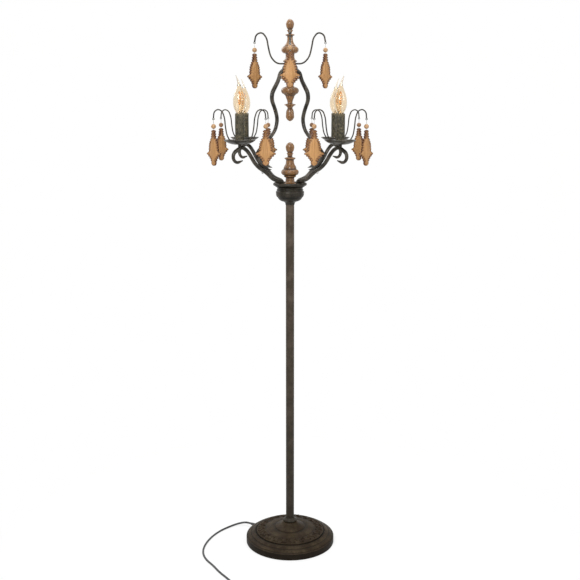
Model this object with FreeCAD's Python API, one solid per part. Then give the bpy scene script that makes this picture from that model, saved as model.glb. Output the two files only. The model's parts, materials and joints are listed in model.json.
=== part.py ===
import FreeCAD
import Part
import math
import os
from FreeCAD import Vector

os.makedirs("parts", exist_ok=True)

# A four-light candlestick floor lamp, in millimetres. Z is up, the front is -Y and the left is -X.
# The origin is the middle of the base, on the floor.

SEAT = 0.1  # clearance where a tube, a screw or a pin goes into its hole
TURNING_STEP = 0.75  # radians of a turned moulding between two of its facets
BEND_STEP = 0.6  # radians of a bend between two of its facets
SHORTEST_CHORD = 3.0
REST = 0.2  # gap where a round piece lies on another round piece

# sides of the round pieces, which are cut in flat facets
BASE_SIDES = 40
HUB_SIDES = 28
POLE_SIDES = 24
PAN_SIDES = 20
TURNED_SIDES = 16
SMALL_SIDES = 12
BAR_SIDES = 8
BORE_SIDES = 6
WIRE_SIDES = 5
PIN_SIDES = 4

# base
BASE_RADIUS = 135.0
BASE_RIM_HEIGHT = 24.0
BASE_HEIGHT = 64.0
BASE_BAND_RADIUS = 103.0
BASE_BAND_HEIGHT = 37.0
BASE_STEP_RADIUS = 117.0
BASE_STEP_HEIGHT = 29.0
BASE_BOSS_RADIUS = 44.0
BASE_BOSS_HEIGHT = 48.0
COVER_WALL = 2.0
COVER_FOOT_GAP = 1.0
PAD_THICKNESS = 3.0
WEIGHT_THICKNESS = 17.0
WEIGHT_GAP = 0.3
WEIGHT_BOSS_RADIUS = 17.0
CABLE_SLOT_WIDTH = 16.0
CABLE_SLOT_HEIGHT = 16.0
NUT_RECESS_RADIUS = 18.0
NUT_RECESS_HEIGHT = 22.0
WASHER_RADIUS = 13.0
WASHER_THICKNESS = 2.0
NUT_RADIUS = 9.5
NUT_THICKNESS = 5.0

# pole
POLE_RADIUS = 12.5
POLE_WALL = 1.5
POLE_LOWER_LENGTH = 508.7
POLE_MIDDLE_LENGTH = 134.0
POLE_UPPER_LENGTH = 339.8
POLE_EDGE_BREAK = 0.6
FOOT_COLLAR_RADIUS = 20.8
FOOT_COLLAR_HEIGHT = 12.5
COUPLING_LENGTH = 40.0
COUPLING_WALL = 2.5
HANGER_TUBE_RADIUS = 5.0  # threaded lamp tube
HANGER_TUBE_BORE = 3.4
TUBE_FOOT = 9.0  # of the foot tube below the weight's washer seat
TUBE_HEAD = 14.0  # of the hub's tube above the hub cover, inside the finial
TUBE_REACH = 30.0  # inside the pole
BUSHING_INSET = 12.0
BUSHING_LENGTH = 16.0
WINDOW_HEIGHT = 16.0
CABLE_RADIUS = 2.6
CABLE_BEND = 8.0
LEAD_RADIUS = 0.7
LEAD_CAP_RADIUS = 4.0
LEAD_CAP_DROP = 22.0  # below the hub's floor
CONNECTOR_RADIUS = 4.5
CONNECTOR_LENGTH = 16.0

# hub
HUB_HEIGHT = 58.0  # from the pole's end to the floor of the cover
HUB_RIM_RADIUS = 49.3
HUB_RIM_ROLL = 4.5
HUB_BOWL_RADIUS = 40.8
HUB_BELLY_HEIGHT = 33.0  # of the bowl's widest ring above the pole's end
HUB_NECK_HEIGHT = 48.0  # of the narrower ring under its lip
HUB_WALL = 2.0
ARM_ENTRY_RADIUS = 30.0
ARM_HOLE_GAP = 0.3
ARM_NUT_WALL = 2.1
ARM_NUT_THICKNESS = 4.0

# arms, scrolls and lyre rods
ARM_RADIUS = 5.5
ARM_BORE = 3.9
SCROLL_RADIUS = 16.0
SCROLL_END = -105.0  # degrees round the scroll's middle where its tail starts
SCROLL_END_RADIUS = 2.6
SCROLL_STEPS = 5
SCROLL_TIP_RADIUS = 1.0
SCROLL_TAIL = 15.0
LYRE_RADIUS = 5.0
LYRE_TIP_RADIUS = 0.8
SCREW_RADIUS = 1.5
SCREW_SHARE = 0.4  # how far up the arm's straight run the screw sits
SCREW_HEAD_RADIUS = 3.4
SCREW_HEAD_HEIGHT = 2.2
SCREW_NUT_RADIUS = 3.2
SCREW_NUT_THICKNESS = 2.4

# candles
CANDLE_REACH = 195.0  # from the lamp's axis
PAN_FLOOR = 121.5  # above the hub's floor
PAN_RADIUS = 43.5
PAN_DEPTH = 12.5
PAN_WALL = 1.5
PAN_FLAT = 14.0
STEM_RADIUS = 5.0
STEM_NECK_RADIUS = 3.4
STEM_BORE = 2.2
STEM_NECK_HEIGHT = 12.0
STEM_FOOT = 14.0  # below the pan's floor, before the arm's shape is cut away
WIRE_RING_RADIUS = 8.0
WIRE_RING_THICKNESS = 1.6
SLEEVE_RADIUS = 12.75
SLEEVE_WALL = 1.5
SLEEVE_HEIGHT = 84.0
SLEEVE_LIFT = 0.2  # over the pan's floor
SOCKET_RADIUS = 10.0
SOCKET_POST_RADIUS = 5.5
SOCKET_POST_HEIGHT = 36.0
SOCKET_GAP = 3.0  # below the sleeve's lip
BULB_CAP_RADIUS = 7.0
BULB_CAP_LENGTH = 26.0
BULB_WALL = 0.8
BULB_FOOT = 1.0  # thickness of the glass over the cap
BULB_WAIST = 66.0  # where the hollow ends
BULB_SHAPE = [  # lean outwards, height, radius
    (0.0, 0.0, 8.2),
    (0.0, 11.0, 14.2),
    (0.0, 30.0, 18.0),
    (0.0, 50.0, 15.2),
    (0.0, BULB_WAIST, 8.8),
    (0.8, 77.0, 4.6),
    (3.0, 88.0, 2.7),
    (6.2, 97.0, 1.6),
    (9.0, 104.0, 0.7),
]

# wires and pendants
PAN_WIRE_RADIUS = 1.5
PAN_WIRE_REACH = 71.5
CROWN_WIRE_RADIUS = 2.0
CROWN_WIRE_REACH = 101.0
EYE_RADIUS = 3.2
EYE_THICKNESS = 2.6
EYE_BORE = 1.1
LINK_WIRE = 1.4
LINK_WIDTH = 6.6
LINK_HEIGHT = 12.0
PIN_RADIUS = 0.7
STOP_RADIUS = 1.8
STOP_THICKNESS = 1.0
BEAD_RADIUS = 6.8
BEAD_DROP = 20.0  # from the eye to the bead's middle
PLATE_DROP = 29.5  # from the eye to the plate's top
PLATE_LENGTH = 98.0
PLATE_HALF_WIDTH = 27.5
PLATE_THICKNESS = 8.0
PLATE_EDGE = 3.5
PIN_DEPTH = 6.0

# crown
CAP_RADIUS = 23.0
CAP_HEIGHT = 17.0
CAP_BOTTOM = 325.0  # above the hub's floor
COLLAR_RADIUS = 17.0
COLLAR_HEIGHT = 9.5
STUD_RADIUS = 3.0
STUD_DEPTH = 30.0
STUD_END_GAP = 2.0

# cord, foot switch and plug
CORD_DIAMETER = 6.0
CORD_SIDES = 6
ARC_SHARE = 0.45
CORD_EXIT_ANGLE = 144.0
CORD_EXIT_HEIGHT = 11.0
RELIEF_LENGTH = 20.0
RELIEF_RADIUS = 5.3
RELIEF_TIP_RADIUS = 4.0
RELIEF_FLANGE_RADIUS = 6.9
RELIEF_FLANGE = 3.0
SWITCH_LENGTH = 68.0
SWITCH_WIDTH = 34.0
SWITCH_HEIGHT = 20.0
SWITCH_ROUNDING = 4.0
SWITCH_BOSS_WALL = 1.6
BUTTON_RADIUS = 9.5
BUTTON_GAP = 0.4
BUTTON_HEIGHT = 11.0
BUTTON_PROUD = 5.0
BUTTON_POCKET = 10.0
COIL_PITCH = 6.5
COIL_LAYER = 6.45
COIL_TURNS = 5.5
COIL_INNER_RADIUS = 23.3
COIL_STUB = 14.0
PLUG_LENGTH = 32.0
PLUG_WIDTH = 26.0
PLUG_NOSE = 12.0
PLUG_CHAMFER = 4.0
BLADE_SPACING = 12.7
BLADE_WIDTH = 6.35
BLADE_THICKNESS = 1.5
BLADE_LENGTH = 17.0

TIP_FLAT = 0.5  # small flat left at the middle of a turned end

# heights that follow
POLE_BOTTOM = BASE_HEIGHT
LOWER_JOINT = POLE_BOTTOM + POLE_LOWER_LENGTH
UPPER_JOINT = LOWER_JOINT + POLE_MIDDLE_LENGTH
POLE_TOP = UPPER_JOINT + POLE_UPPER_LENGTH
WIRE_TURN = POLE_TOP + TUBE_REACH
HUB_FLOOR = POLE_TOP + HUB_HEIGHT
CANDLE_FLOOR = HUB_FLOOR + PAN_FLOOR + PAN_WALL
CROWN_BOTTOM = HUB_FLOOR + CAP_BOTTOM
CROWN_TOP = CROWN_BOTTOM + CAP_HEIGHT
FINIAL_SEAT = CROWN_TOP + COLLAR_HEIGHT
BULB_SEAT = SLEEVE_HEIGHT - SOCKET_GAP + 1.5  # above the pan's floor

CORNERS = {"front_left": (-1, -1), "front_right": (1, -1), "back_left": (-1, 1), "back_right": (1, 1)}
CROWN_SIDES = {"left": 180.0, "right": 0.0, "front": -90.0, "back": 90.0}

# The arm in its own upright plane: distance from the lamp's axis, height above the hub's floor.
ARM_ROUTE = [
    (ARM_ENTRY_RADIUS, -16.0),
    (ARM_ENTRY_RADIUS, 4.8),
    (ARM_ENTRY_RADIUS + 7.0, 11.8),
    (ARM_ENTRY_RADIUS + 22.0, 15.0),
    (ARM_ENTRY_RADIUS + 40.0, 20.5),
    (CANDLE_REACH - 97.0, 42.5),
    (CANDLE_REACH - 75.0, 52.5),
    (CANDLE_REACH - 55.0, 68.5),
    (CANDLE_REACH - 37.0, 93.5),
    (CANDLE_REACH - 24.0, 107.0),
    (CANDLE_REACH - 6.5, 115.0),
    (CANDLE_REACH + 16.0, 103.0),
]
ARM_REST_RUN = (5, 6)  # the lyre rod lies along the run between these two points

# The lyre rod above its rest on the arm, in the same plane.
LYRE_BOW = [
    (CANDLE_REACH - 68.0, 76.0),
    (CANDLE_REACH - 61.0, 92.0),
    (114.0, 113.5),
    (84.0, 133.5),
    (59.0, 159.0),
    (51.0, 189.0),
    (59.5, 216.0),
    (74.0, 243.0),
    (72.5, 264.0),
    (57.0, 285.0),
    (46.5, 300.0),
    (40.5, 318.5),
    (29.0, 326.5),
    (17.0, 334.0),
]
LYRE_TAIL = 19.5

# The looped wires: distance out from the foot's axis, height above the foot.
PAN_WIRE_ROUTE = [
    (6.0, 1.8),
    (17.0, 1.8),
    (26.5, 9.0),
    (35.0, 23.0),
    (39.0, 46.0),
    (41.0, 72.0),
    (48.0, 90.0),
    (60.0, 95.0),
    (70.0, 87.0),
    (PAN_WIRE_REACH, 68.0),
]
CROWN_WIRE_ROUTE = [
    (12.0, 0.0),
    (38.0, 0.0),
    (55.0, 18.0),
    (62.0, 46.0),
    (66.0, 72.0),
    (80.0, 88.0),
    (97.0, 81.0),
    (CROWN_WIRE_REACH, 58.0),
]
CROWN_WIRE_HEIGHT = 4.0  # above the crown cap

# Half the pendant plate's outline from its top, with three notches, a shoulder, an ear and a tip.
PLATE_NOTCHES = [(5.0, 0.0), (8.5, 6.0), (7.0, 10.0), (9.5, 14.0), (8.0, 18.0), (11.0, 22.0), (9.5, 26.0)]
PLATE_SHOULDER = (19.0, 55.0)
PLATE_WAIST = (18.5, 60.5)
PLATE_EAR_HEIGHT = 65.0
PLATE_EAR_FOOT = (23.0, 72.0)
PLATE_SCALLOP = (10.0, 85.0)
PLATE_TIP = (6.0, 94.0)

# The cord on the floor, from the strain relief to the foot switch, then on to the coil.
CORD_LAY = [
    (-135.9, 98.7, 11.0),
    (-151.6, 102.0, 9.3),
    (-171.2, 97.8, 6.2),
    (-194.9, 83.0, 3.5),
    (-222.7, 54.2, 3.0),
    (-246.9, 10.5, 3.0),
    (-262.1, -42.4, 3.0),
    (-263.8, -90.4, 3.0),
    (-249.9, -133.2, 3.0),
    (-225.8, -167.6, 3.0),
    (-204.7, -207.3, 3.0),
    (-176.5, -246.1, 3.0),
    (-155.5, -282.5, 3.0),
    (-130.9, -299.7, 5.0),
    (-105.5, -305.1, 9.0),
]
SWITCH_START = (-79.5, -305.1, 9.0)
TAIL_LAY = [
    (8.0, -305.1, 9.0),
    (28.0, -298.0, 5.5),
    (48.0, -284.0, 3.0),
    (66.0, -279.5, 3.0),
]
COIL_START = (86.0, -279.5, 3.0)


def arc_points(a, b, bulge):
    """Points on the arc from a to b, each TURNING_STEP further round; the last one is b."""
    across = Vector(b.z - a.z, 0, a.x - b.x).normalize()
    half = (b - a).Length / 2
    radius = (half * half + bulge * bulge) / (2 * abs(bulge))
    centre = (a + b) * 0.5 + across * (bulge - math.copysign(radius, bulge))
    sweep = 4 * math.atan(abs(bulge) / half)
    steps = max(1, round(sweep / TURNING_STEP))
    points = []
    for k in range(1, steps):
        spoke = turned_vector(a - centre, math.copysign(sweep * k / steps, bulge))
        points.append(centre + spoke)
    return points + [b]


def turned_vector(v, angle):
    """A vector of the XZ plane, turned from X towards Z."""
    c, s = math.cos(angle), math.sin(angle)
    return Vector(v.x * c - v.z * s, 0, v.x * s + v.z * c)


def level_ring(radius, height, sides, x=0.0):
    """The corners of a level regular polygon about the Z axis, or about an axis moved along X."""
    angles = [2 * math.pi * (k + 0.5) / sides for k in range(sides)]
    return [Vector(x + radius * math.cos(a), radius * math.sin(a), height) for a in angles]


def facet(corners):
    """One flat face through four corners, or two where they don't lie in one plane."""
    a, b, c, d = corners
    normal = (b - a).cross(c - a)
    if abs(normal.dot(d - a)) < 1e-7 * normal.Length:
        return [Part.Face(Part.makePolygon([a, b, c, d, a]))]
    return [Part.Face(Part.makePolygon([a, b, c, a])), Part.Face(Part.makePolygon([a, c, d, a]))]


def skin(rings, closed=False):
    """A solid with facets between rings of corners. Closed rings run on from the last to the first,
    as round a bore, and others get a flat end on the first and the last."""
    pairs = list(zip(rings, rings[1:]))
    faces = []
    if closed:
        pairs.append((rings[-1], rings[0]))
    else:
        faces = [Part.Face(Part.makePolygon(end + end[:1])) for end in (rings[0], rings[-1])]
    for low, high in pairs:
        for k in range(len(low)):
            after = (k + 1) % len(low)
            faces += facet([low[k], low[after], high[after], high[k]])
    shell = Part.makeShell(faces)
    shell.sewShape()
    solid = Part.Solid(shell)
    if solid.Volume < 0:
        solid.reverse()
    return solid


def lathe(stations, sides):
    """Turns an outline of (radius, height) about Z. A third value is how far the stretch that ends
    there bulges to the right of its direction, which is outwards where the outline climbs."""
    points = [Vector(stations[0][0], 0, stations[0][1])]
    for radius, height, *bulge in stations[1:]:
        end = Vector(radius, 0, height)
        points += arc_points(points[-1], end, bulge[0]) if bulge else [end]
    bored = stations[0][0] > 0
    return skin([level_ring(p.x, p.z, sides) for p in points if p.x > 0], closed=bored)


def raised(stations, height):
    return [(s[0], s[1] + height, *s[2:]) for s in stations]


def prism(radius, bottom, top, sides=6):
    return Part.Face(Part.makePolygon(closed_ring(radius, bottom, sides))).extrude(Vector(0, 0, top - bottom))


def closed_ring(radius, height, sides):
    corners = level_ring(radius, height, sides)
    return corners + corners[:1]


def pipe(outer, inner, bottom, top, sides):
    return prism(outer, bottom, top, sides).cut(prism(inner, bottom, top, sides))


def moved(shape, x, y, z):
    copy = shape.copy()
    copy.translate(Vector(x, y, z))
    return copy


def turned(shape, degrees, axis=Vector(0, 0, 1), at=Vector()):
    copy = shape.copy()
    copy.rotate(at, axis, degrees)
    return copy


def upright(route, height=0.0, out=0.0):
    """Points in the XZ plane from (distance, height) pairs."""
    return [Vector(r + out, 0, z + height) for r, z in route]


def bend(before, corner, after):
    """The tangent arc that rounds a corner, as large as its two runs allow."""
    back = before - corner
    ahead = after - corner
    reach = ARC_SHARE * min(back.Length, ahead.Length)
    back.normalize()
    ahead.normalize()
    half_turn = (math.pi - back.getAngle(ahead)) / 2
    radius = reach / math.tan(half_turn)
    centre = corner + (back + ahead).normalize() * (radius / math.cos(half_turn))
    return corner + back * reach, corner + ahead * reach, centre, radius, 2 * half_turn


def rounded(points):
    """Straight runs joined by tangent arcs: the edges and the arcs' radii."""
    edges = []
    radii = []
    start = points[0]
    for before, corner, after in zip(points, points[1:], points[2:]):
        enter, leave, centre, radius, _ = bend(before, corner, after)
        middle = centre + (corner - centre).normalize() * radius
        edges.append(Part.LineSegment(start, enter).toShape())
        edges.append(Part.Arc(enter, middle, leave).toShape())
        radii.append(radius)
        start = leave
    edges.append(Part.LineSegment(start, points[-1]).toShape())
    return edges, radii


def eased(points):
    """The same route with each arc cut into straight chords."""
    route = [points[0]]
    for before, corner, after in zip(points, points[1:], points[2:]):
        enter, leave, centre, _, turn = bend(before, corner, after)
        steps = max(1, round(turn / BEND_STEP))
        for k in range(steps + 1):
            near = math.sin(turn * (1 - k / steps)) / math.sin(turn)
            far = math.sin(turn * k / steps) / math.sin(turn)
            point = centre + (enter - centre) * near + (leave - centre) * far
            if (point - route[-1]).Length > SHORTEST_CHORD:
                route.append(point)
    return route + [points[-1]]


def square_ring(centre, direction, radius, sides):
    """The corners of a regular polygon square to a direction."""
    sideways = direction.cross(Vector(0, 0, 1))
    if sideways.Length < 1e-3 * direction.Length:
        sideways = Vector(1, 0, 0)
    sideways.normalize()
    upwards = sideways.cross(direction).normalize()
    angles = [2 * math.pi * (k + 0.5) / sides for k in range(sides)]
    return [centre + sideways * (radius * math.cos(a)) + upwards * (radius * math.sin(a)) for a in angles]


def bar(points, radii, sides):
    """A straight-sided bar along points, mitred where it turns, with its own radius at each point."""
    runs = [(b - a).normalize() for a, b in zip(points, points[1:])]
    rings = [square_ring(points[0], runs[0], radii[0], sides)]
    for k, point in enumerate(points[1:], 1):
        along = runs[k - 1]
        mitre = along + runs[k] if k < len(runs) else along
        ring = []
        for corner in rings[-1]:
            reached = corner + along * ((point - corner).dot(mitre) / along.dot(mitre))
            ring.append(point + (reached - point) * (radii[k] / radii[k - 1]))
        rings.append(ring)
    return skin(rings)


def tube(points, radius, sides):
    route = eased(points)
    return bar(route, [radius] * len(route), sides)


# ---- base ----

def cover_outline(inset):
    """The base cover's outer line from its foot to the pole, moved inwards by inset."""
    rim = BASE_RADIUS - inset
    return [
        (rim, COVER_FOOT_GAP),
        (rim, BASE_RIM_HEIGHT - 6.0),
        (rim - 6.0, BASE_RIM_HEIGHT - inset, 1.7),
        (BASE_STEP_RADIUS + 1.0, BASE_STEP_HEIGHT - 1.5 - inset),
        (BASE_STEP_RADIUS - 2.0, BASE_STEP_HEIGHT + 1.5 - inset, 0.6),
        (BASE_BAND_RADIUS + 3.0, BASE_BAND_HEIGHT - 2.5 - inset),
        (BASE_BAND_RADIUS, BASE_BAND_HEIGHT - inset, 0.8),
        (BASE_BOSS_RADIUS + 2.0, BASE_BOSS_HEIGHT - 2.0 - inset, 1.5),
        (BASE_BOSS_RADIUS, BASE_BOSS_HEIGHT - inset),
        (POLE_RADIUS + 9.0, BASE_HEIGHT - inset, -2.0),
    ]


def base_cover():
    bore = HANGER_TUBE_RADIUS + SEAT
    outer = cover_outline(0.0) + [(bore, BASE_HEIGHT)]
    inner = cover_outline(COVER_WALL)[::-1]
    inner = [(bore, BASE_HEIGHT - COVER_WALL)] + [(r, z) for r, z, *_ in inner]
    shell = lathe(outer + inner, BASE_SIDES)
    hole = prism(RELIEF_RADIUS + SEAT, -RELIEF_FLANGE, RELIEF_LENGTH, SMALL_SIDES)
    return shell.cut(outwards(hole))


def outwards(shape):
    """Lays a shape made along Z outwards through the base's rim, its origin on the rim's inner face."""
    flat = turned(shape, 90, Vector(0, 1, 0))
    flat = moved(flat, rim_face(), 0, CORD_EXIT_HEIGHT)
    return turned(flat, CORD_EXIT_ANGLE)


def rim_face():
    """How far the flat inside the cover's rim lies from the lamp's axis."""
    return (BASE_RADIUS - COVER_WALL) * math.cos(math.pi / BASE_SIDES)


def base_weight():
    rim = BASE_RADIUS - COVER_WALL - WEIGHT_GAP
    top = PAD_THICKNESS + WEIGHT_THICKNESS - 2.0
    body = lathe([
        (HANGER_TUBE_RADIUS + SEAT, PAD_THICKNESS),
        (rim, PAD_THICKNESS),
        (rim, top - 4.0),
        (rim - 14.0, top),
        (BASE_BOSS_RADIUS, top + 6.0),
        (WEIGHT_BOSS_RADIUS + 6.0, top + 14.0),
        (WEIGHT_BOSS_RADIUS, BASE_HEIGHT - COVER_WALL),
        (HANGER_TUBE_RADIUS + SEAT, BASE_HEIGHT - COVER_WALL),
    ], BASE_SIDES)
    slot = Part.makeBox(BASE_RADIUS, CABLE_SLOT_WIDTH, CABLE_SLOT_HEIGHT)
    slot = turned(moved(slot, 0, -CABLE_SLOT_WIDTH / 2, PAD_THICKNESS), CORD_EXIT_ANGLE)
    recess = prism(NUT_RECESS_RADIUS, PAD_THICKNESS, NUT_RECESS_HEIGHT, SMALL_SIDES)
    return body.cut(slot).cut(recess)


def base_pad():
    return prism(BASE_RADIUS - COVER_WALL - WEIGHT_GAP, 0, PAD_THICKNESS, BASE_SIDES)


def locknuts():
    """Washer and nut under the weight, and a nut on each arm's inner end."""
    bore = HANGER_TUBE_RADIUS + SEAT
    washer_bottom = NUT_RECESS_HEIGHT - WASHER_THICKNESS
    nut_bottom = washer_bottom - NUT_THICKNESS
    washer = pipe(WASHER_RADIUS, bore, washer_bottom, NUT_RECESS_HEIGHT, SMALL_SIDES)
    nut_hole = prism(bore, nut_bottom, washer_bottom, SMALL_SIDES)
    pieces = [washer, prism(NUT_RADIUS, nut_bottom, washer_bottom).cut(nut_hole)]
    top = HUB_FLOOR - HUB_WALL
    hole = prism(ARM_RADIUS + SEAT, top - NUT_THICKNESS, top, BAR_SIDES)
    arm_nut = prism(ARM_RADIUS + ARM_NUT_WALL, top - ARM_NUT_THICKNESS, top).cut(hole)
    for corner in CORNERS.values():
        pieces.append(turned(moved(arm_nut, ARM_ENTRY_RADIUS, 0, 0), azimuth(corner)))
    return pieces


def foot_collar():
    inner = POLE_RADIUS + SEAT
    return lathe([
        (inner, BASE_HEIGHT),
        (FOOT_COLLAR_RADIUS - 2.5, BASE_HEIGHT),
        (FOOT_COLLAR_RADIUS - 2.5, BASE_HEIGHT + 8.0, 2.5),
        (inner + 1.5, BASE_HEIGHT + FOOT_COLLAR_HEIGHT, -1.0),
        (inner, BASE_HEIGHT + FOOT_COLLAR_HEIGHT),
    ], POLE_SIDES)


def strain_relief():
    return outwards(lathe([
        (0.0, -RELIEF_FLANGE),
        (RELIEF_FLANGE_RADIUS, -RELIEF_FLANGE),
        (RELIEF_FLANGE_RADIUS, -SEAT),
        (RELIEF_RADIUS, -SEAT),
        (RELIEF_RADIUS, COVER_WALL + 1.0),
        (RELIEF_TIP_RADIUS, RELIEF_LENGTH),
        (0.0, RELIEF_LENGTH),
    ], SMALL_SIDES))


# ---- pole ----

def pole_tube(bottom, top):
    inner = POLE_RADIUS - POLE_WALL
    return lathe([
        (inner, bottom),
        (POLE_RADIUS - POLE_EDGE_BREAK, bottom),
        (POLE_RADIUS, bottom + POLE_EDGE_BREAK),
        (POLE_RADIUS, top - POLE_EDGE_BREAK),
        (POLE_RADIUS - POLE_EDGE_BREAK, top),
        (inner, top),
    ], POLE_SIDES)


def threaded_tubes():
    """Foot tube, the two pole couplings and the tube through the hub, with its window for the wires."""
    sleeve = POLE_RADIUS - POLE_WALL - SEAT
    pieces = []
    for joint in (LOWER_JOINT, UPPER_JOINT):
        low = joint - COUPLING_LENGTH / 2
        pieces.append(pipe(sleeve, sleeve - COUPLING_WALL, low, low + COUPLING_LENGTH, POLE_SIDES))
    for low, high, bushing in (
        (NUT_RECESS_HEIGHT - TUBE_FOOT, POLE_BOTTOM + TUBE_REACH, POLE_BOTTOM + BUSHING_INSET),
        (POLE_TOP - TUBE_REACH, HUB_FLOOR + TUBE_HEAD, POLE_TOP - BUSHING_INSET),
    ):
        below, above = bushing - BUSHING_LENGTH / 2, bushing + BUSHING_LENGTH / 2
        pieces.append(lathe([
            (HANGER_TUBE_BORE, low),
            (HANGER_TUBE_RADIUS, low),
            (HANGER_TUBE_RADIUS, below),
            (sleeve, below),
            (sleeve, above),
            (HANGER_TUBE_RADIUS, above),
            (HANGER_TUBE_RADIUS, high),
            (HANGER_TUBE_BORE, high),
        ], SMALL_SIDES))
    window = Part.makeBox(2 * HANGER_TUBE_RADIUS, 2 * HANGER_TUBE_BORE, WINDOW_HEIGHT)
    pieces[-1] = pieces[-1].cut(moved(window, 0, -HANGER_TUBE_BORE, WIRE_TURN - WINDOW_HEIGHT / 2))
    return pieces


def azimuth(corner):
    return math.degrees(math.atan2(corner[1], corner[0]))


def inner_wiring():
    """The cable from the strain relief up the pole, a lead in each arm and the connectors in the hub."""
    angle = math.radians(CORD_EXIT_ANGLE)
    out = Vector(math.cos(angle), math.sin(angle), 0)
    inside = out * (rim_face() - RELIEF_FLANGE - REST)
    low = Vector(0, 0, PAD_THICKNESS + CABLE_RADIUS + REST)
    high = Vector(0, 0, WIRE_TURN)
    aside = 2.2 * CABLE_BEND
    cable = tube([inside + Vector(0, 0, CORD_EXIT_HEIGHT), out * aside + low, low, high,
                  high + Vector(aside, 0, 0)], CABLE_RADIUS, BORE_SIDES)
    connector = prism(CONNECTOR_RADIUS, -CONNECTOR_LENGTH / 2, CONNECTOR_LENGTH / 2)
    pieces = [cable.fuse(moved(connector, aside, 0, WIRE_TURN))]
    cap_top = HUB_FLOOR - LEAD_CAP_DROP
    start = Vector(ARM_ENTRY_RADIUS, 0, cap_top)
    route = [start] + eased(upright(ARM_ROUTE, HUB_FLOOR))[1:-2]
    lead = bar(route, [LEAD_RADIUS] * len(route), PIN_SIDES)
    side = SCREW_RADIUS + SEAT + LEAD_RADIUS
    cap = prism(LEAD_CAP_RADIUS, cap_top - CONNECTOR_LENGTH / 2, cap_top)
    cap = moved(cap, ARM_ENTRY_RADIUS - LEAD_CAP_RADIUS / 2, 0, 0)
    for corner in CORNERS.values():
        pieces += [turned(moved(piece, 0, side, 0), azimuth(corner)) for piece in (lead, cap)]
    return pieces


# ---- hub ----

def hub_bowl():
    tube_hole = HANGER_TUBE_RADIUS + SEAT
    top = HUB_HEIGHT - HUB_RIM_ROLL
    outer = [
        (POLE_RADIUS, 0.0),
        (HUB_BOWL_RADIUS * 0.52, 9.0, -1.0),
        (HUB_BOWL_RADIUS, HUB_BELLY_HEIGHT, 4.5),
        (HUB_BOWL_RADIUS - 3.2, HUB_NECK_HEIGHT, 1.2),
        (HUB_RIM_RADIUS - 6.5, top, -0.8),
    ]
    inner = [
        (HUB_RIM_RADIUS - 6.5 - HUB_WALL, top),
        (HUB_BOWL_RADIUS - 3.2 - HUB_WALL, HUB_NECK_HEIGHT),
        (HUB_BOWL_RADIUS - HUB_WALL, HUB_BELLY_HEIGHT),
        (HUB_BOWL_RADIUS * 0.52, 9.0 + HUB_WALL + 1.0),
        (tube_hole, 3.0),
    ]
    return lathe(raised(outer + inner + [(tube_hole, 0.0)], POLE_TOP), HUB_SIDES)


def hub_cover():
    tube_hole = HANGER_TUBE_RADIUS + SEAT
    roll = HUB_RIM_RADIUS - HUB_RIM_ROLL
    low = HUB_FLOOR - HUB_WALL
    middle = HUB_FLOOR + 2.3
    plate = lathe([
        (tube_hole, low),
        (roll - 5.0, low),
        (roll - 4.0, middle - HUB_RIM_ROLL - 2.3),
        (roll, middle - HUB_RIM_ROLL),
        (roll, middle + HUB_RIM_ROLL, HUB_RIM_ROLL),
        (roll - 3.5, middle + 1.0, -1.0),
        (roll - 6.5, HUB_FLOOR),
        (tube_hole, HUB_FLOOR),
    ], HUB_SIDES)
    hole = prism(ARM_RADIUS + ARM_HOLE_GAP, low - 1.0, HUB_FLOOR + 1.0, BAR_SIDES)
    hole = moved(hole, ARM_ENTRY_RADIUS, 0, 0)
    for corner in CORNERS.values():
        plate = plate.cut(turned(hole, azimuth(corner)))
    return plate


# ---- turned finials ----

def finial(stations, seat, hole_radius, hole_depth, downwards=False):
    body = lathe([(0.0, 0.0)] + stations, TURNED_SIDES)
    body = body.cut(prism(hole_radius + SEAT, 0, hole_depth, TURNED_SIDES))
    if downwards:
        body = turned(body, 180, Vector(1, 0, 0))
    return moved(body, 0, 0, seat)


def lower_finial():
    return finial([
        (19.0, 0.0),
        (19.0, 4.0, 0.8),
        (13.0, 15.0, -2.2),
        (13.0, 22.0, -0.6),
        (17.2, 24.0, 0.5),
        (17.2, 27.0, 0.6),
        (18.5, 28.5),
        (18.9, 45.5, 7.0),
        (16.0, 55.5, 0.8),
        (11.8, 68.0, -1.2),
        (12.2, 73.5, -0.4),
        (15.1, 75.0),
        (15.1, 79.0, 0.8),
        (7.0, 82.0, -0.6),
        (9.3, 90.5, -0.8),
        (9.3, 92.5, 0.4),
        (7.2, 94.0, -0.4),
        (11.9, 104.5, 1.0),
        (TIP_FLAT, 123.5, 5.0),
        (0.0, 123.5),
    ], HUB_FLOOR, HANGER_TUBE_RADIUS, 16.0)


def upper_finial():
    return finial([
        (19.5, 0.0),
        (19.5, 3.0, 0.8),
        (12.5, 16.5, -2.4),
        (12.5, 21.5, 0.3),
        (17.0, 23.5, -0.4),
        (17.0, 43.0, 7.6),
        (15.5, 46.0, 0.5),
        (8.3, 63.0, -1.8),
        (8.6, 71.5, -0.6),
        (12.2, 73.0),
        (12.2, 76.0, 0.8),
        (4.6, 78.5, -0.5),
        (8.2, 86.0, -0.6),
        (8.2, 88.0, 0.4),
        (6.0, 89.5, -0.3),
        (11.0, 100.5, 1.0),
        (TIP_FLAT, 119.0, 4.6),
        (0.0, 119.0),
    ], FINIAL_SEAT, STUD_RADIUS, STUD_DEPTH)


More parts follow.
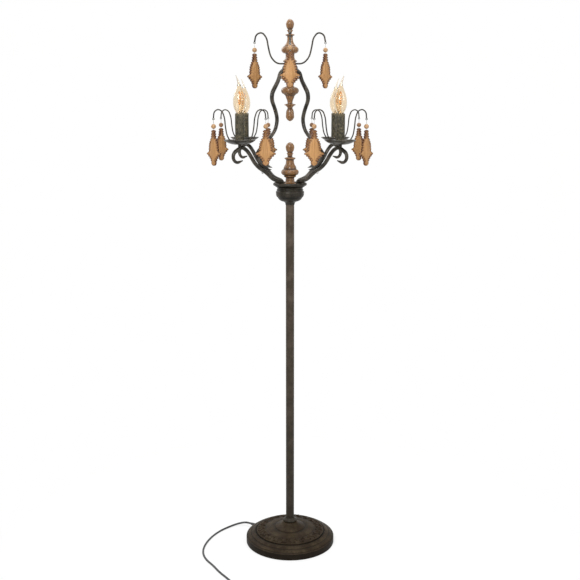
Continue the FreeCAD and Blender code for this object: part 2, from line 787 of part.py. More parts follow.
def drop_finial():
    return finial([
        (18.0, 0.0),
        (18.0, 4.0, 0.8),
        (9.5, 22.0, -2.6),
        (10.5, 41.0, -1.2),
        (16.5, 45.0, -0.8),
        (17.6, 64.5, 8.4),
        (15.0, 67.0, 0.6),
        (11.5, 75.0, -0.6),
        (7.4, 88.0, -0.8),
        (8.0, 91.5, -0.4),
        (15.4, 93.0),
        (15.4, 96.0, 0.8),
        (8.6, 101.0, -0.8),
        (7.0, 104.0, -0.3),
        (11.4, 122.0, 1.6),
        (TIP_FLAT, 141.5, 4.8),
        (0.0, 141.5),
    ], CROWN_BOTTOM, STUD_RADIUS, STUD_DEPTH, downwards=True)


# ---- arms and lyre rods ----

def scroll():
    """The tapered end of an arm, as points and radii: an arc under the pan, then a short tail."""
    before, entry = upright(ARM_ROUTE[-2:], HUB_FLOOR)
    heading = (entry - before).normalize()
    centre = entry + Vector(heading.z, 0, -heading.x) * SCROLL_RADIUS
    first = math.atan2(entry.z - centre.z, entry.x - centre.x)
    points = []
    radii = []
    for k in range(1, SCROLL_STEPS + 1):
        share = k / SCROLL_STEPS
        angle = first + (math.radians(SCROLL_END) - first) * share
        points.append(centre + Vector(math.cos(angle), 0, math.sin(angle)) * SCROLL_RADIUS)
        radii.append(ARM_RADIUS + (SCROLL_END_RADIUS - ARM_RADIUS) * share)
    points.append(points[-1] + Vector(math.sin(angle), 0, -math.cos(angle)) * SCROLL_TAIL)
    return points, radii + [SCROLL_TIP_RADIUS]


def rest_run():
    """The straight run of the arm that the lyre rod lies along: its lower end, vector and normal."""
    low, high = upright([ARM_ROUTE[k] for k in ARM_REST_RUN], HUB_FLOOR)
    run = high - low
    return low, run, Vector(-run.z, 0, run.x).normalize()


def arm_body():
    route = eased(upright(ARM_ROUTE, HUB_FLOOR))
    points, radii = scroll()
    return bar(route + points, [ARM_RADIUS] * len(route) + radii, BAR_SIDES)


def at_screw(shape):
    """Sets a shape made along Z on the screw's line, its origin on the arm's middle line."""
    low, run, _ = rest_run()
    foot = low + run * SCREW_SHARE
    tilt = -math.degrees(math.atan2(run.z, run.x))
    return moved(turned(shape, tilt, Vector(0, 1, 0)), foot.x, 0, foot.z)


def screw_hole():
    return at_screw(prism(SCREW_RADIUS + SEAT, -2 * ARM_RADIUS, 4 * ARM_RADIUS))


def arm():
    body = arm_body().cut(tube(upright(ARM_ROUTE, HUB_FLOOR), ARM_BORE, BORE_SIDES))
    wire_hole = prism(STEM_BORE, CANDLE_FLOOR - STEM_FOOT, CANDLE_FLOOR, BAR_SIDES)
    return body.cut(screw_hole()).cut(moved(wire_hole, CANDLE_REACH, 0, 0))


def lyre_route():
    low, run, normal = rest_run()
    lift = normal * (ARM_RADIUS + LYRE_RADIUS + REST)
    return [low + lift, low + run + lift] + upright(LYRE_BOW, HUB_FLOOR)


def lyre_rod():
    route = lyre_route()
    start = route[0]
    inwards = (start - route[1]).normalize()
    flat = (inwards + Vector(-1, 0, 0) * 2.0).normalize()
    middle = start + inwards * (LYRE_TAIL * 0.4)
    tip = middle + flat * (LYRE_TAIL * 0.6)
    rest = eased(route)
    radii = [LYRE_TIP_RADIUS, LYRE_RADIUS * 0.6] + [LYRE_RADIUS] * len(rest)
    return bar([tip, middle] + rest, radii, BAR_SIDES).cut(screw_hole())


def lyre_screws():
    """A screw and its nut through each arm and lyre rod."""
    crest = 2 * LYRE_RADIUS + ARM_RADIUS + REST
    nut_top = -ARM_RADIUS - REST
    nut_bottom = nut_top - SCREW_NUT_THICKNESS
    end = nut_bottom - SCREW_RADIUS
    screw = prism(SCREW_RADIUS, end, crest).fuse(prism(SCREW_HEAD_RADIUS, crest, crest + SCREW_HEAD_HEIGHT))
    nut = prism(SCREW_NUT_RADIUS, nut_bottom, nut_top).cut(prism(SCREW_RADIUS + SEAT, nut_bottom, nut_top))
    return [turned(at_screw(piece), azimuth(c)) for c in CORNERS.values() for piece in (screw, nut)]


# ---- crown ----

def crown_cap():
    cap = lathe([
        (STUD_RADIUS + SEAT, 0.0),
        (CAP_RADIUS - 2.0, 0.0),
        (CAP_RADIUS, 3.0, 0.8),
        (CAP_RADIUS, 8.0),
        (COLLAR_RADIUS + 1.0, CAP_HEIGHT, 1.6),
        (STUD_RADIUS + SEAT, CAP_HEIGHT),
    ], TURNED_SIDES)
    cap = moved(cap, 0, 0, CROWN_BOTTOM)
    route = lyre_route()
    for corner in CORNERS.values():
        cap = cap.cut(turned(tube(route[-4:], LYRE_RADIUS + SEAT, BAR_SIDES), azimuth(corner)))
    return cap


def wire_crown():
    collar = lathe(raised([
        (STUD_RADIUS + SEAT, 0.0),
        (COLLAR_RADIUS - 1.0, 0.0),
        (COLLAR_RADIUS - 1.0, COLLAR_HEIGHT, 1.0),
        (STUD_RADIUS + SEAT, COLLAR_HEIGHT),
    ], CROWN_TOP), TURNED_SIDES)
    wire = looped_wire(CROWN_WIRE_ROUTE, CROWN_WIRE_RADIUS)
    wire = moved(wire, 0, 0, CROWN_TOP + CROWN_WIRE_HEIGHT)
    for angle in CROWN_SIDES.values():
        collar = collar.fuse(turned(wire, angle))
    return collar


def crown_stud():
    inset = STUD_DEPTH - STUD_END_GAP
    return prism(STUD_RADIUS, CROWN_BOTTOM - inset, FINIAL_SEAT + inset, TURNED_SIDES)


# ---- candles ----

def at_candle(shape, corner, height=0.0):
    side = CANDLE_REACH / math.sqrt(2)
    return moved(shape, corner[0] * side, corner[1] * side, height)


def drip_pan():
    hole = STEM_NECK_RADIUS + SEAT
    return lathe([
        (hole, -PAN_WALL),
        (PAN_FLAT, -PAN_WALL),
        (PAN_RADIUS * 0.7, PAN_DEPTH * 0.32 - PAN_WALL),
        (PAN_RADIUS, PAN_DEPTH - PAN_WALL),
        (PAN_RADIUS - 1.0, PAN_DEPTH - PAN_WALL * 0.5),
        (PAN_RADIUS * 0.7 - 0.6, PAN_DEPTH * 0.32),
        (PAN_FLAT, 0.0),
        (hole, 0.0),
    ], PAN_SIDES)


def candle_stem(corner):
    """The stem between arm and pan, its foot shaped to the arm and its neck up through the pan."""
    body = lathe([
        (STEM_BORE, -STEM_FOOT),
        (STEM_RADIUS, -STEM_FOOT),
        (STEM_RADIUS, -PAN_WALL),
        (STEM_NECK_RADIUS, -PAN_WALL),
        (STEM_NECK_RADIUS, STEM_NECK_HEIGHT),
        (STEM_BORE, STEM_NECK_HEIGHT),
    ], SMALL_SIDES)
    body = at_candle(body, corner, CANDLE_FLOOR)
    body = body.cut(turned(arm_body(), azimuth(corner)))
    return max(body.Solids, key=lambda s: s.BoundBox.ZMax)


def candle_sleeve():
    """The candle sleeve, with a full foot, a soft lip and a notch on each side for the pan wires."""
    body = lathe([
        (SLEEVE_RADIUS - SLEEVE_WALL, SLEEVE_LIFT),
        (SLEEVE_RADIUS + 0.4, SLEEVE_LIFT),
        (SLEEVE_RADIUS, 8.0),
        (SLEEVE_RADIUS, SLEEVE_HEIGHT - 1.0),
        (SLEEVE_RADIUS - 0.6, SLEEVE_HEIGHT),
        (SLEEVE_RADIUS - SLEEVE_WALL, SLEEVE_HEIGHT - 1.0),
    ], TURNED_SIDES)
    notch = tube(upright(PAN_WIRE_ROUTE[:3]), PAN_WIRE_RADIUS + REST, WIRE_SIDES)
    return body.cut(notch).cut(turned(notch, 180))


def lamp_socket():
    top = SLEEVE_HEIGHT - SOCKET_GAP
    cap = BULB_CAP_RADIUS + REST
    return lathe([
        (STEM_NECK_RADIUS + SEAT, WIRE_RING_THICKNESS),
        (SOCKET_POST_RADIUS, WIRE_RING_THICKNESS),
        (SOCKET_POST_RADIUS, SOCKET_POST_HEIGHT),
        (SOCKET_RADIUS, SOCKET_POST_HEIGHT + 5.0),
        (SOCKET_RADIUS, top),
        (cap, top),
        (cap, top - BULB_CAP_LENGTH + 1.0),
        (2.0, top - BULB_CAP_LENGTH),
        (2.0, STEM_NECK_HEIGHT + 4.0),
        (STEM_NECK_RADIUS + SEAT, STEM_NECK_HEIGHT + 2.0),
    ], SMALL_SIDES)


def bulb_cap():
    bottom = BULB_SEAT - 1.5 - BULB_CAP_LENGTH + 1.2
    return lathe([
        (0.0, bottom),
        (2.5, bottom),
        (BULB_CAP_RADIUS - 1.5, bottom + 3.0),
        (BULB_CAP_RADIUS, bottom + 5.0),
        (BULB_CAP_RADIUS, BULB_SEAT),
        (0.0, BULB_SEAT),
    ], SMALL_SIDES)


def bulb_glass(outward):
    """A flame-shaped envelope whose tip leans outwards, hollow from just above its foot to its waist."""
    envelope = [level_ring(r, BULB_SEAT + SEAT + z, SMALL_SIDES, outward * lean) for lean, z, r in BULB_SHAPE]
    hollow = [(r, z) for _, z, r in BULB_SHAPE if z <= BULB_WAIST]
    hollow[0] = (hollow[0][0], BULB_FOOT)
    rings = [level_ring(r - BULB_WALL, BULB_SEAT + SEAT + z, SMALL_SIDES) for r, z in hollow]
    return skin(envelope).cut(skin(rings))


def bulb_filament():
    return lathe(raised([
        (0.0, 0.0),
        (5.0, 0.0),
        (2.4, 8.0),
        (2.0, 22.0),
        (0.8, 24.0),
        (0.8, 56.0),
        (0.0, 56.0),
    ], BULB_SEAT + SEAT + BULB_FOOT), BAR_SIDES)


# ---- looped wires and pendants ----

def pan_wire_pair():
    """Two looped wires on a flat ring that the socket clamps to the pan."""
    wire = looped_wire(PAN_WIRE_ROUTE, PAN_WIRE_RADIUS)
    flat = pipe(WIRE_RING_RADIUS, STEM_NECK_RADIUS + SEAT, 0, WIRE_RING_THICKNESS, SMALL_SIDES)
    return flat.fuse(wire).fuse(turned(wire, 180))


def looped_wire(route, radius):
    """A wire that climbs, loops over and ends in a drilled eye; it starts at the origin's axis."""
    wire = tube(upright(route), radius, WIRE_SIDES)
    eye = route[-1]
    disc = turned(prism(EYE_RADIUS, -EYE_THICKNESS / 2, EYE_THICKNESS / 2), 90, Vector(1, 0, 0))
    hole = turned(prism(EYE_BORE, -EYE_THICKNESS, EYE_THICKNESS), 90, Vector(1, 0, 0))
    return wire.fuse(moved(disc, eye[0], 0, eye[1])).cut(moved(hole, eye[0], 0, eye[1]))


def hanger():
    """The wire link through the eye and the pin below it, with the stop that carries the bead."""
    half = LINK_WIDTH / 2
    top = LINK_WIRE / 2
    outer = Part.makeBox(LINK_WIRE, LINK_WIDTH, LINK_HEIGHT, Vector(-LINK_WIRE / 2, -half, top - LINK_HEIGHT))
    inner = Part.makeBox(2 * LINK_WIRE, LINK_WIDTH - 2 * LINK_WIRE, LINK_HEIGHT - 2 * LINK_WIRE,
                         Vector(-LINK_WIRE, LINK_WIRE - half, top - LINK_HEIGHT + LINK_WIRE))
    pin = prism(PIN_RADIUS, -PLATE_DROP - PIN_DEPTH, top - LINK_HEIGHT + LINK_WIRE / 2, PIN_SIDES)
    seat = -BEAD_DROP - BEAD_RADIUS - SEAT
    stop = prism(STOP_RADIUS, seat - STOP_THICKNESS, seat, PIN_SIDES)
    return outer.cut(inner).fuse(pin).fuse(stop)


def bead():
    bore = PIN_RADIUS + SEAT
    ball = lathe([
        (bore, -BEAD_RADIUS),
        (BEAD_RADIUS * 0.4, -BEAD_RADIUS),
        (BEAD_RADIUS, -BEAD_RADIUS * 0.35),
        (BEAD_RADIUS, BEAD_RADIUS * 0.35),
        (BEAD_RADIUS * 0.4, BEAD_RADIUS),
        (bore, BEAD_RADIUS),
    ], BAR_SIDES)
    return moved(ball, 0, 0, -BEAD_DROP)


def plate_corners(side):
    """Corners down one side of the plate. A stretch with a third value bulges by that at its middle."""
    corners = [Vector()]
    for reach, drop, *bulge in [
        *PLATE_NOTCHES,
        (*PLATE_SHOULDER, 2.2),
        PLATE_WAIST,
        (PLATE_HALF_WIDTH, PLATE_EAR_HEIGHT, -1.2),
        PLATE_EAR_FOOT,
        (*PLATE_SCALLOP, -2.0),
        (*PLATE_TIP, 0.8),
        (0.0, PLATE_LENGTH, 1.5),
    ]:
        before = corners[-1]
        after = Vector(side * reach, 0, -drop)
        if bulge:
            across = Vector(before.z - after.z, 0, after.x - before.x).normalize() * side
            corners.append((before + after) * 0.5 + across * bulge[0])
        corners.append(after)
    return corners


def plate():
    """The carved plate: its outline, with both faces sloping from a middle ridge to thin edges."""
    face = Part.Face(Part.makePolygon(plate_corners(1) + plate_corners(-1)[-2::-1]))
    slab = moved(face.extrude(Vector(0, PLATE_THICKNESS, 0)), 0, -PLATE_THICKNESS / 2, 0)
    wide = PLATE_HALF_WIDTH + 1.0
    thick = PLATE_THICKNESS / 2
    thin = PLATE_EDGE / 2
    ridge = [Vector(x, y, 1.0) for x, y in (
        (-wide, -thin), (0, -thick), (wide, -thin), (wide, thin), (0, thick), (-wide, thin), (-wide, -thin))]
    wedge = Part.Face(Part.makePolygon(ridge)).extrude(Vector(0, 0, -PLATE_LENGTH - 2.0))
    hole = prism(PIN_RADIUS + SEAT, -PIN_DEPTH - REST, 1.0, PIN_SIDES)
    return moved(slab.common(wedge).cut(hole), 0, 0, -PLATE_DROP)


def pendant(x, y, z, link_turn, plate_turn):
    """A pendant hung at an eye. The link's top bar runs along Y before it is turned."""
    pieces = [turned(hanger(), link_turn), bead(), turned(plate(), plate_turn)]
    return [moved(p, x, y, z) for p in pieces]


# ---- cord, switch and plug ----

def cord_points():
    out = math.radians(CORD_EXIT_ANGLE)
    reach = rim_face() + RELIEF_LENGTH + SEAT
    exit_point = (reach * math.cos(out), reach * math.sin(out), CORD_EXIT_HEIGHT)
    lead = [Vector(*p) for p in [exit_point, *CORD_LAY, SWITCH_START]]
    far_side = (SWITCH_START[0] + SWITCH_LENGTH, SWITCH_START[1], SWITCH_START[2])
    tail = [Vector(*p) for p in [far_side, *TAIL_LAY, COIL_START]]
    return lead, tail


def swept(edges, start, direction):
    """The cord's section swept along smoothly joined edges."""
    ring = square_ring(start, direction, CORD_DIAMETER / 2, CORD_SIDES)
    return Part.Wire(edges).makePipeShell([Part.makePolygon(ring + ring[:1])], True, False)


def cord_run(name, points):
    edges, radii = rounded(points)
    solid = swept(edges, points[0], points[1] - points[0])
    length = sum(e.Length for e in edges)
    area = CORD_SIDES / 2 * math.sin(2 * math.pi / CORD_SIDES) * (CORD_DIAMETER / 2) ** 2
    print(name, "length", round(length, 1), "radii", [round(r) for r in radii],
          "volume over section times length", round(solid.Volume / (area * length), 4))
    return solid, length


def coil_place(turns):
    """A point of the coil after so many turns: clockwise from its back, in, up one layer and out."""
    middle = COIL_TURNS / 2
    outer = COIL_INNER_RADIUS + COIL_PITCH * middle
    radius = COIL_INNER_RADIUS + COIL_PITCH * abs(turns - middle)
    angle = math.pi / 2 - 2 * math.pi * turns
    share = min(max((turns - middle) * 2 + 0.5, 0.0), 1.0)
    height = COIL_LAYER * share * share * (3 - 2 * share)
    centre = Vector(COIL_START[0], COIL_START[1] - outer, COIL_START[2])
    return centre + Vector(radius * math.cos(angle), radius * math.sin(angle), height)


def coil_heading(turns):
    step = 1e-4
    if turns < step:
        return Vector(1, 0, 0)
    if turns > COIL_TURNS - step:
        return Vector(-1, 0, 0)
    return (coil_place(turns + step) - coil_place(turns - step)).normalize()


def bent(start, heading, end):
    """The arc that leaves start along heading and reaches end."""
    chord = end - start
    along = chord.normalize()
    length = (end - start).Length
    turn = heading.getAngle(along)
    if turn < 1e-5:
        return Part.LineSegment(start, end).toShape()
    outward = (heading - along * heading.dot(along)).normalize()
    middle = (start + end) * 0.5 + outward * (length / 2 * math.tan(turn / 2))
    return Part.Arc(start, middle, end).toShape()


def biarc(start, heading, end, arrival):
    """Two arcs that meet smoothly and join two points with the headings given there."""
    span = end - start
    both = heading + arrival
    bend = 2 * (1 - heading.dot(arrival))
    reach = (-span.dot(both) + math.sqrt(span.dot(both) ** 2 + bend * span.dot(span))) / bend
    joint = (start + end + (heading - arrival) * reach) * 0.5
    first = bent(start, heading, joint)
    second = bent(end, arrival * -1, joint)
    second.reverse()
    return [first, second]


def coil():
    steps = int(round(COIL_TURNS * 4))
    edges = []
    for k in range(steps):
        a, b = k / 4, (k + 1) / 4
        edges += biarc(coil_place(a), coil_heading(a), coil_place(b), coil_heading(b))
    last = coil_place(COIL_TURNS)
    edges.append(Part.LineSegment(last, last + Vector(-COIL_STUB, 0, 0)).toShape())
    solid = swept(edges, coil_place(0), Vector(1, 0, 0))
    length = sum(e.Length for e in edges)
    samples = [coil_place(COIL_TURNS * k / 600) for k in range(601)]
    least = min((samples[i] - samples[j]).Length for i in range(601) for j in range(i + 60, 601))
    print("coil length", round(length, 1), "least gap", round(least - CORD_DIAMETER, 2))
    return solid, length


def switch_ring(inset, height):
    """Corners of the foot switch's outline, straight-sided with round ends, drawn in by inset."""
    radius = SWITCH_WIDTH / 2 - inset
    straight = (SWITCH_LENGTH - SWITCH_WIDTH) / 2
    corners = []
    for end in (1, -1):
        for k in range(SMALL_SIDES // 2 + 1):
            angle = math.pi * (2 * k / SMALL_SIDES - end / 2)
            x = end * straight + radius * math.cos(angle)
            corners.append(Vector(x, radius * math.sin(angle), height))
    return corners


def switch_case():
    """A low foot switch with round ends, a pocket for its button and a boss for the cord at each end."""
    body = skin([
        switch_ring(0.0, 0.0),
        switch_ring(0.0, SWITCH_HEIGHT - SWITCH_ROUNDING),
        switch_ring(SWITCH_ROUNDING * 0.3, SWITCH_HEIGHT - SWITCH_ROUNDING * 0.3),
        switch_ring(SWITCH_ROUNDING, SWITCH_HEIGHT),
    ])
    boss = prism(CORD_DIAMETER / 2 + SWITCH_BOSS_WALL, -SWITCH_LENGTH / 2, SWITCH_LENGTH / 2, BAR_SIDES)
    boss = moved(turned(boss, 90, Vector(0, 1, 0)), 0, 0, SWITCH_START[2])
    floor = SWITCH_HEIGHT - BUTTON_POCKET
    pocket = prism(BUTTON_RADIUS + BUTTON_GAP, floor, SWITCH_HEIGHT + 1.0, TURNED_SIDES)
    body = body.fuse(boss).cut(pocket)
    return moved(body, SWITCH_START[0] + SWITCH_LENGTH / 2, SWITCH_START[1], 0)


def switch_button():
    bottom = SWITCH_HEIGHT + BUTTON_PROUD - BUTTON_HEIGHT
    top = SWITCH_HEIGHT + BUTTON_PROUD
    body = lathe([
        (0.0, bottom),
        (BUTTON_RADIUS, bottom),
        (BUTTON_RADIUS, top - 2.5),
        (BUTTON_RADIUS - 2.0, top - 0.6, 0.5),
        (TIP_FLAT, top),
        (0.0, top),
    ], TURNED_SIDES)
    return moved(body, SWITCH_START[0] + SWITCH_LENGTH / 2, SWITCH_START[1], 0)


def plug():
    """A two-blade mains plug lying flat, its nose at the coil's end."""
    end = coil_place(COIL_TURNS) + Vector(-COIL_STUB, 0, 0)
    nose = bar([Vector(), Vector(-PLUG_NOSE - 1.0, 0, 0)],
               [CORD_DIAMETER / 2 + 1.0, CORD_DIAMETER / 2 + 3.0], SMALL_SIDES)
    front = -PLUG_NOSE - PLUG_LENGTH
    body = Part.makeBox(PLUG_LENGTH, PLUG_WIDTH, 2 * end.z, Vector(front, -PLUG_WIDTH / 2, -end.z))
    corners = [e for e in body.Edges if e.BoundBox.ZLength > end.z]
    pieces = [body.makeChamfer(PLUG_CHAMFER, corners).fuse(nose)]
    for side in (-1, 1):
        y = side * BLADE_SPACING / 2 - BLADE_THICKNESS / 2
        place = Vector(front - BLADE_LENGTH, y, -BLADE_WIDTH / 2)
        pieces.append(Part.makeBox(BLADE_LENGTH, BLADE_THICKNESS, BLADE_WIDTH, place))
    return [moved(p, end.x, end.y, end.z) for p in pieces]


# ---- the whole lamp ----

def save(name, shape):
    shape = Part.makeCompound(shape) if isinstance(shape, list) else shape
    if not shape.isValid():
        print("not valid:", name)
    if isinstance(shape, Part.Compound) and len(shape.Solids) == 1:
        shape = shape.Solids[0]
    shape.exportStep("parts/%s.step" % name)
    return shape


def main():
    save("base_pad", base_pad())
    save("base_weight", base_weight())
    save("base_cover", base_cover())
    save("pole_foot_collar", foot_collar())
    save("cord_strain_relief", strain_relief())
    save("pole_lower", pole_tube(POLE_BOTTOM, LOWER_JOINT))
    save("pole_middle", pole_tube(LOWER_JOINT, UPPER_JOINT))
    save("pole_upper", pole_tube(UPPER_JOINT, POLE_TOP))
    save("threaded_tubes", threaded_tubes())
    save("locknuts", locknuts())
    save("inner_wiring", inner_wiring())
    save("hub_bowl", hub_bowl())
    save("hub_cover", hub_cover())
    save("lower_finial", lower_finial())
    save("upper_finial", upper_finial())
    save("drop_finial", drop_finial())
    save("crown_cap", crown_cap())
    save("wire_crown", wire_crown())
    save("crown_stud", crown_stud())
    save("lyre_screws", lyre_screws())

    one_arm = arm()
    one_rod = lyre_rod()
    wire_pair = pan_wire_pair()
    wires = []
    for name, corner in CORNERS.items():
        save("arm_" + name, turned(one_arm, azimuth(corner)))
        save("lyre_rod_" + name, turned(one_rod, azimuth(corner)))
        wires.append(at_candle(wire_pair, corner, CANDLE_FLOOR))
        eye = CANDLE_FLOOR + PAN_WIRE_ROUTE[-1][1]
        side = CANDLE_REACH / math.sqrt(2)
        turn = -45 * corner[0] * corner[1]
        out = pendant(corner[0] * (side + PAN_WIRE_REACH), corner[1] * side, eye, 0, turn)
        save("pendant_outer_" + name, out)
        inwards = pendant(corner[0] * (side - PAN_WIRE_REACH), corner[1] * side, eye, 0, 8 * corner[0])
        save("pendant_inner_" + name, inwards)
    save("pan_wires", wires)
    save("drip_pans", [at_candle(drip_pan(), c, CANDLE_FLOOR) for c in CORNERS.values()])
    save("candle_sleeves", [at_candle(candle_sleeve(), c, CANDLE_FLOOR) for c in CORNERS.values()])
    save("candle_stems", [candle_stem(c) for c in CORNERS.values()])
    save("lamp_sockets", [at_candle(lamp_socket(), c, CANDLE_FLOOR) for c in CORNERS.values()])
    save("bulb_caps", [at_candle(bulb_cap(), c, CANDLE_FLOOR) for c in CORNERS.values()])
    save("bulb_glass", [at_candle(bulb_glass(c[0]), c, CANDLE_FLOOR) for c in CORNERS.values()])
    save("bulb_filaments", [at_candle(bulb_filament(), c, CANDLE_FLOOR) for c in CORNERS.values()])

    eye = CROWN_TOP + CROWN_WIRE_HEIGHT + CROWN_WIRE_ROUTE[-1][1]
    for name, angle in CROWN_SIDES.items():
        x = CROWN_WIRE_REACH * math.cos(math.radians(angle))
        y = CROWN_WIRE_REACH * math.sin(math.radians(angle))
        save("pendant_crown_" + name, pendant(x, y, eye, angle, 45 if abs(x) > abs(y) else 0))

    lead, tail = cord_points()
    lead_solid, lead_length = cord_run("cord_lead", lead)
    tail_solid, tail_length = cord_run("cord_tail", tail)
    coil_solid, coil_length = coil()
    save("cord_lead", lead_solid)
    save("cord_tail", tail_solid)
    save("cord_coil", coil_solid)
    save("foot_switch_case", switch_case())
    save("foot_switch_button", switch_button())
    save("plug", plug())
    print("cord in all", round(lead_length + SWITCH_LENGTH + tail_length + coil_length, 1))


main()
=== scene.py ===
import json
import math

import bmesh
import bpy
from mathutils import Matrix, Vector

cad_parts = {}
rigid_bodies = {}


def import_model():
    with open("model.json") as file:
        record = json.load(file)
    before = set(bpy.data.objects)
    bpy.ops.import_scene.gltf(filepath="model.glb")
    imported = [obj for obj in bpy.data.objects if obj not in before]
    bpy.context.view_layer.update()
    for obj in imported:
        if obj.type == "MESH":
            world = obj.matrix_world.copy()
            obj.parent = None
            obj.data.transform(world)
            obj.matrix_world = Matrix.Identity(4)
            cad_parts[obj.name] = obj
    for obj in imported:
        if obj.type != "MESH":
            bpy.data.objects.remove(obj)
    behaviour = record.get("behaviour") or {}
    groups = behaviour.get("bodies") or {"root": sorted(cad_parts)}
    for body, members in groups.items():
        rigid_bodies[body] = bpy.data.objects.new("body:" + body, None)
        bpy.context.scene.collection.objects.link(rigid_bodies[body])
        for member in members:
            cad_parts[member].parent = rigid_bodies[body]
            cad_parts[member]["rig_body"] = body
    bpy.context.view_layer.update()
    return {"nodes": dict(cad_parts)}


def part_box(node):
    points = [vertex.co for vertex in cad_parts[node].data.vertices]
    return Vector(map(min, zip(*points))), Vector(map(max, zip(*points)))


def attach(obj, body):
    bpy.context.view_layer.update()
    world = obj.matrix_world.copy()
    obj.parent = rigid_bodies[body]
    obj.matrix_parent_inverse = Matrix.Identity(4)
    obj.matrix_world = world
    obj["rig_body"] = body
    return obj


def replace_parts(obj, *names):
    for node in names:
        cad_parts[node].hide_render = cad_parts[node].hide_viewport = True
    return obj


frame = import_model()
print("frame loaded:", len(frame["nodes"]), "nodes")

mm = 0.001
up = Vector((0, 0, 1))


# small helpers shared by the pieces

def newObject(name, data):
    obj = bpy.data.objects.new(name, data)
    bpy.context.scene.collection.objects.link(obj)
    return obj


def linkObject(name, mesh, material, body="lamp"):
    obj = newObject(name, mesh)
    mesh.materials.clear()
    mesh.materials.append(material)
    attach(obj, body)
    return obj


def meshFrom(name, verts, faces):
    mesh = bpy.data.meshes.new(name)
    mesh.from_pydata([tuple(v) for v in verts], [], faces)
    mesh.update()
    return mesh


def weld(mesh, distance=1e-6, outward=True):
    # merge points that lie together, and turn the faces outwards
    bm = bmesh.new()
    bm.from_mesh(mesh)
    bmesh.ops.remove_doubles(bm, verts=bm.verts, dist=distance)
    if outward:
        bmesh.ops.recalc_face_normals(bm, faces=bm.faces)
    bm.to_mesh(mesh)
    bm.free()


def shadeByAngle(mesh, degrees):
    bm = bmesh.new()
    bm.from_mesh(mesh)
    limit = math.radians(degrees)
    for face in bm.faces:
        face.smooth = True
    for edge in bm.edges:
        edge.smooth = len(edge.link_faces) == 2 and edge.calc_face_angle(0.0) < limit
    bm.to_mesh(mesh)
    bm.free()


def clamped(value):
    return min(max(value, 0.0), 1.0)


def around(count):
    # cosine and sine at equal steps round a circle
    angles = [2 * math.pi * k / count for k in range(count)]
    return [(math.cos(angle), math.sin(angle)) for angle in angles]


def ringFaces(rings, sides, first=0, closed=False, capped=True):
    # quads from ring to ring, and a face over each end of a run that isn't closed
    faces = []
    for i in range(rings if closed else rings - 1):
        low, high = first + i * sides, first + (i + 1) % rings * sides
        for k in range(sides):
            after = (k + 1) % sides
            faces.append((low + k, low + after, high + after, high + k))
    if capped and not closed:
        faces.append(tuple(range(first + sides - 1, first - 1, -1)))
        faces.append(tuple(range(first + (rings - 1) * sides, first + rings * sides)))
    return faces


def tubeMesh(name, points, radii, sides, closed=False):
    # rings of a tube along points, turned as little as possible from one to the next
    verts = []
    count = len(points)
    side = None
    for i, (point, radius) in enumerate(zip(points, radii)):
        before = points[(i - 1) % count] if closed or i else point
        after = points[(i + 1) % count] if closed or i < count - 1 else point
        along = (after - before).normalized()
        if side is None:
            side = along.cross(up if abs(along.z) < 0.9 else Vector((1, 0, 0)))
        side = (side - along * side.dot(along)).normalized()
        other = along.cross(side)
        verts += [point + (side * x + other * y) * radius for x, y in around(sides)]
    mesh = meshFrom(name, verts, ringFaces(count, sides, closed=closed))
    weld(mesh)
    return mesh


def bulgedStretch(start, end, bulge, step):
    # points of the arc that leaves the straight line by bulge at its middle
    across = Vector((end.y - start.y, start.x - end.x)).normalized()
    half = (end - start).length / 2
    radius = (half * half + bulge * bulge) / (2 * abs(bulge))
    centre = (start + end) / 2 + across * (bulge - math.copysign(radius, bulge))
    sweep = 4 * math.atan(abs(bulge) / half)
    count = max(2, math.ceil(sweep / step))
    turns = [Matrix.Rotation(math.copysign(sweep * k / count, bulge), 2) for k in range(1, count)]
    return [centre + turn @ (start - centre) for turn in turns] + [end]


def turnedOutline(stations, step=0.22):
    # (radius, height) in mm; a third value is how far the stretch that ends there bulges out
    points = [Vector(stations[0][:2])]
    for radius, height, *bulge in stations[1:]:
        spot = Vector((radius, height))
        points += bulgedStretch(points[-1], spot, bulge[0], step) if bulge else [spot]
    return points


grooveSetting = {"least": 0.3, "gain": 2.5, "beside": 0.5}  # the bend where painted shade starts to gather


def grooveShade(outline, setting=grooveSetting):
    # how far painted shade covers each ring: most at the bottom of a groove, less beside it
    depth = [0.0] * len(outline)
    for i in range(1, len(outline) - 1):
        back, ahead = outline[i] - outline[i - 1], outline[i + 1] - outline[i]
        if back.length > 0.01 and ahead.length > 0.01:
            turn = (back.y * ahead.x - back.x * ahead.y) / (back.length * ahead.length)
            depth[i] = clamped((turn - setting["least"]) * setting["gain"])
    padded = [0.0] + [paintedLight * setting["beside"] for paintedLight in depth] + [0.0]
    return [max(depth[i], padded[i], padded[i + 2]) for i in range(len(depth))]


def addRim(mesh, paintedLights):
    # how far its material's painted light covers each point
    mesh.attributes.new("rim", "FLOAT", "POINT").data.foreach_set("value", paintedLights)


def latheMesh(name, outline, sides, closed=False, sharp=38, paintedLights=None):
    # an outline of (radius, height) in mm, turned about Z; a closed one runs round a bore
    circle = around(sides)
    verts = [Vector((radius * x, radius * y, height)) * mm
             for radius, height in outline for x, y in circle]
    mesh = meshFrom(name, verts, ringFaces(len(outline), sides, closed=closed))
    if paintedLights:
        addRim(mesh, [paintedLight for paintedLight in paintedLights for side in circle])
    weld(mesh)
    shadeByAngle(mesh, sharp)
    return mesh


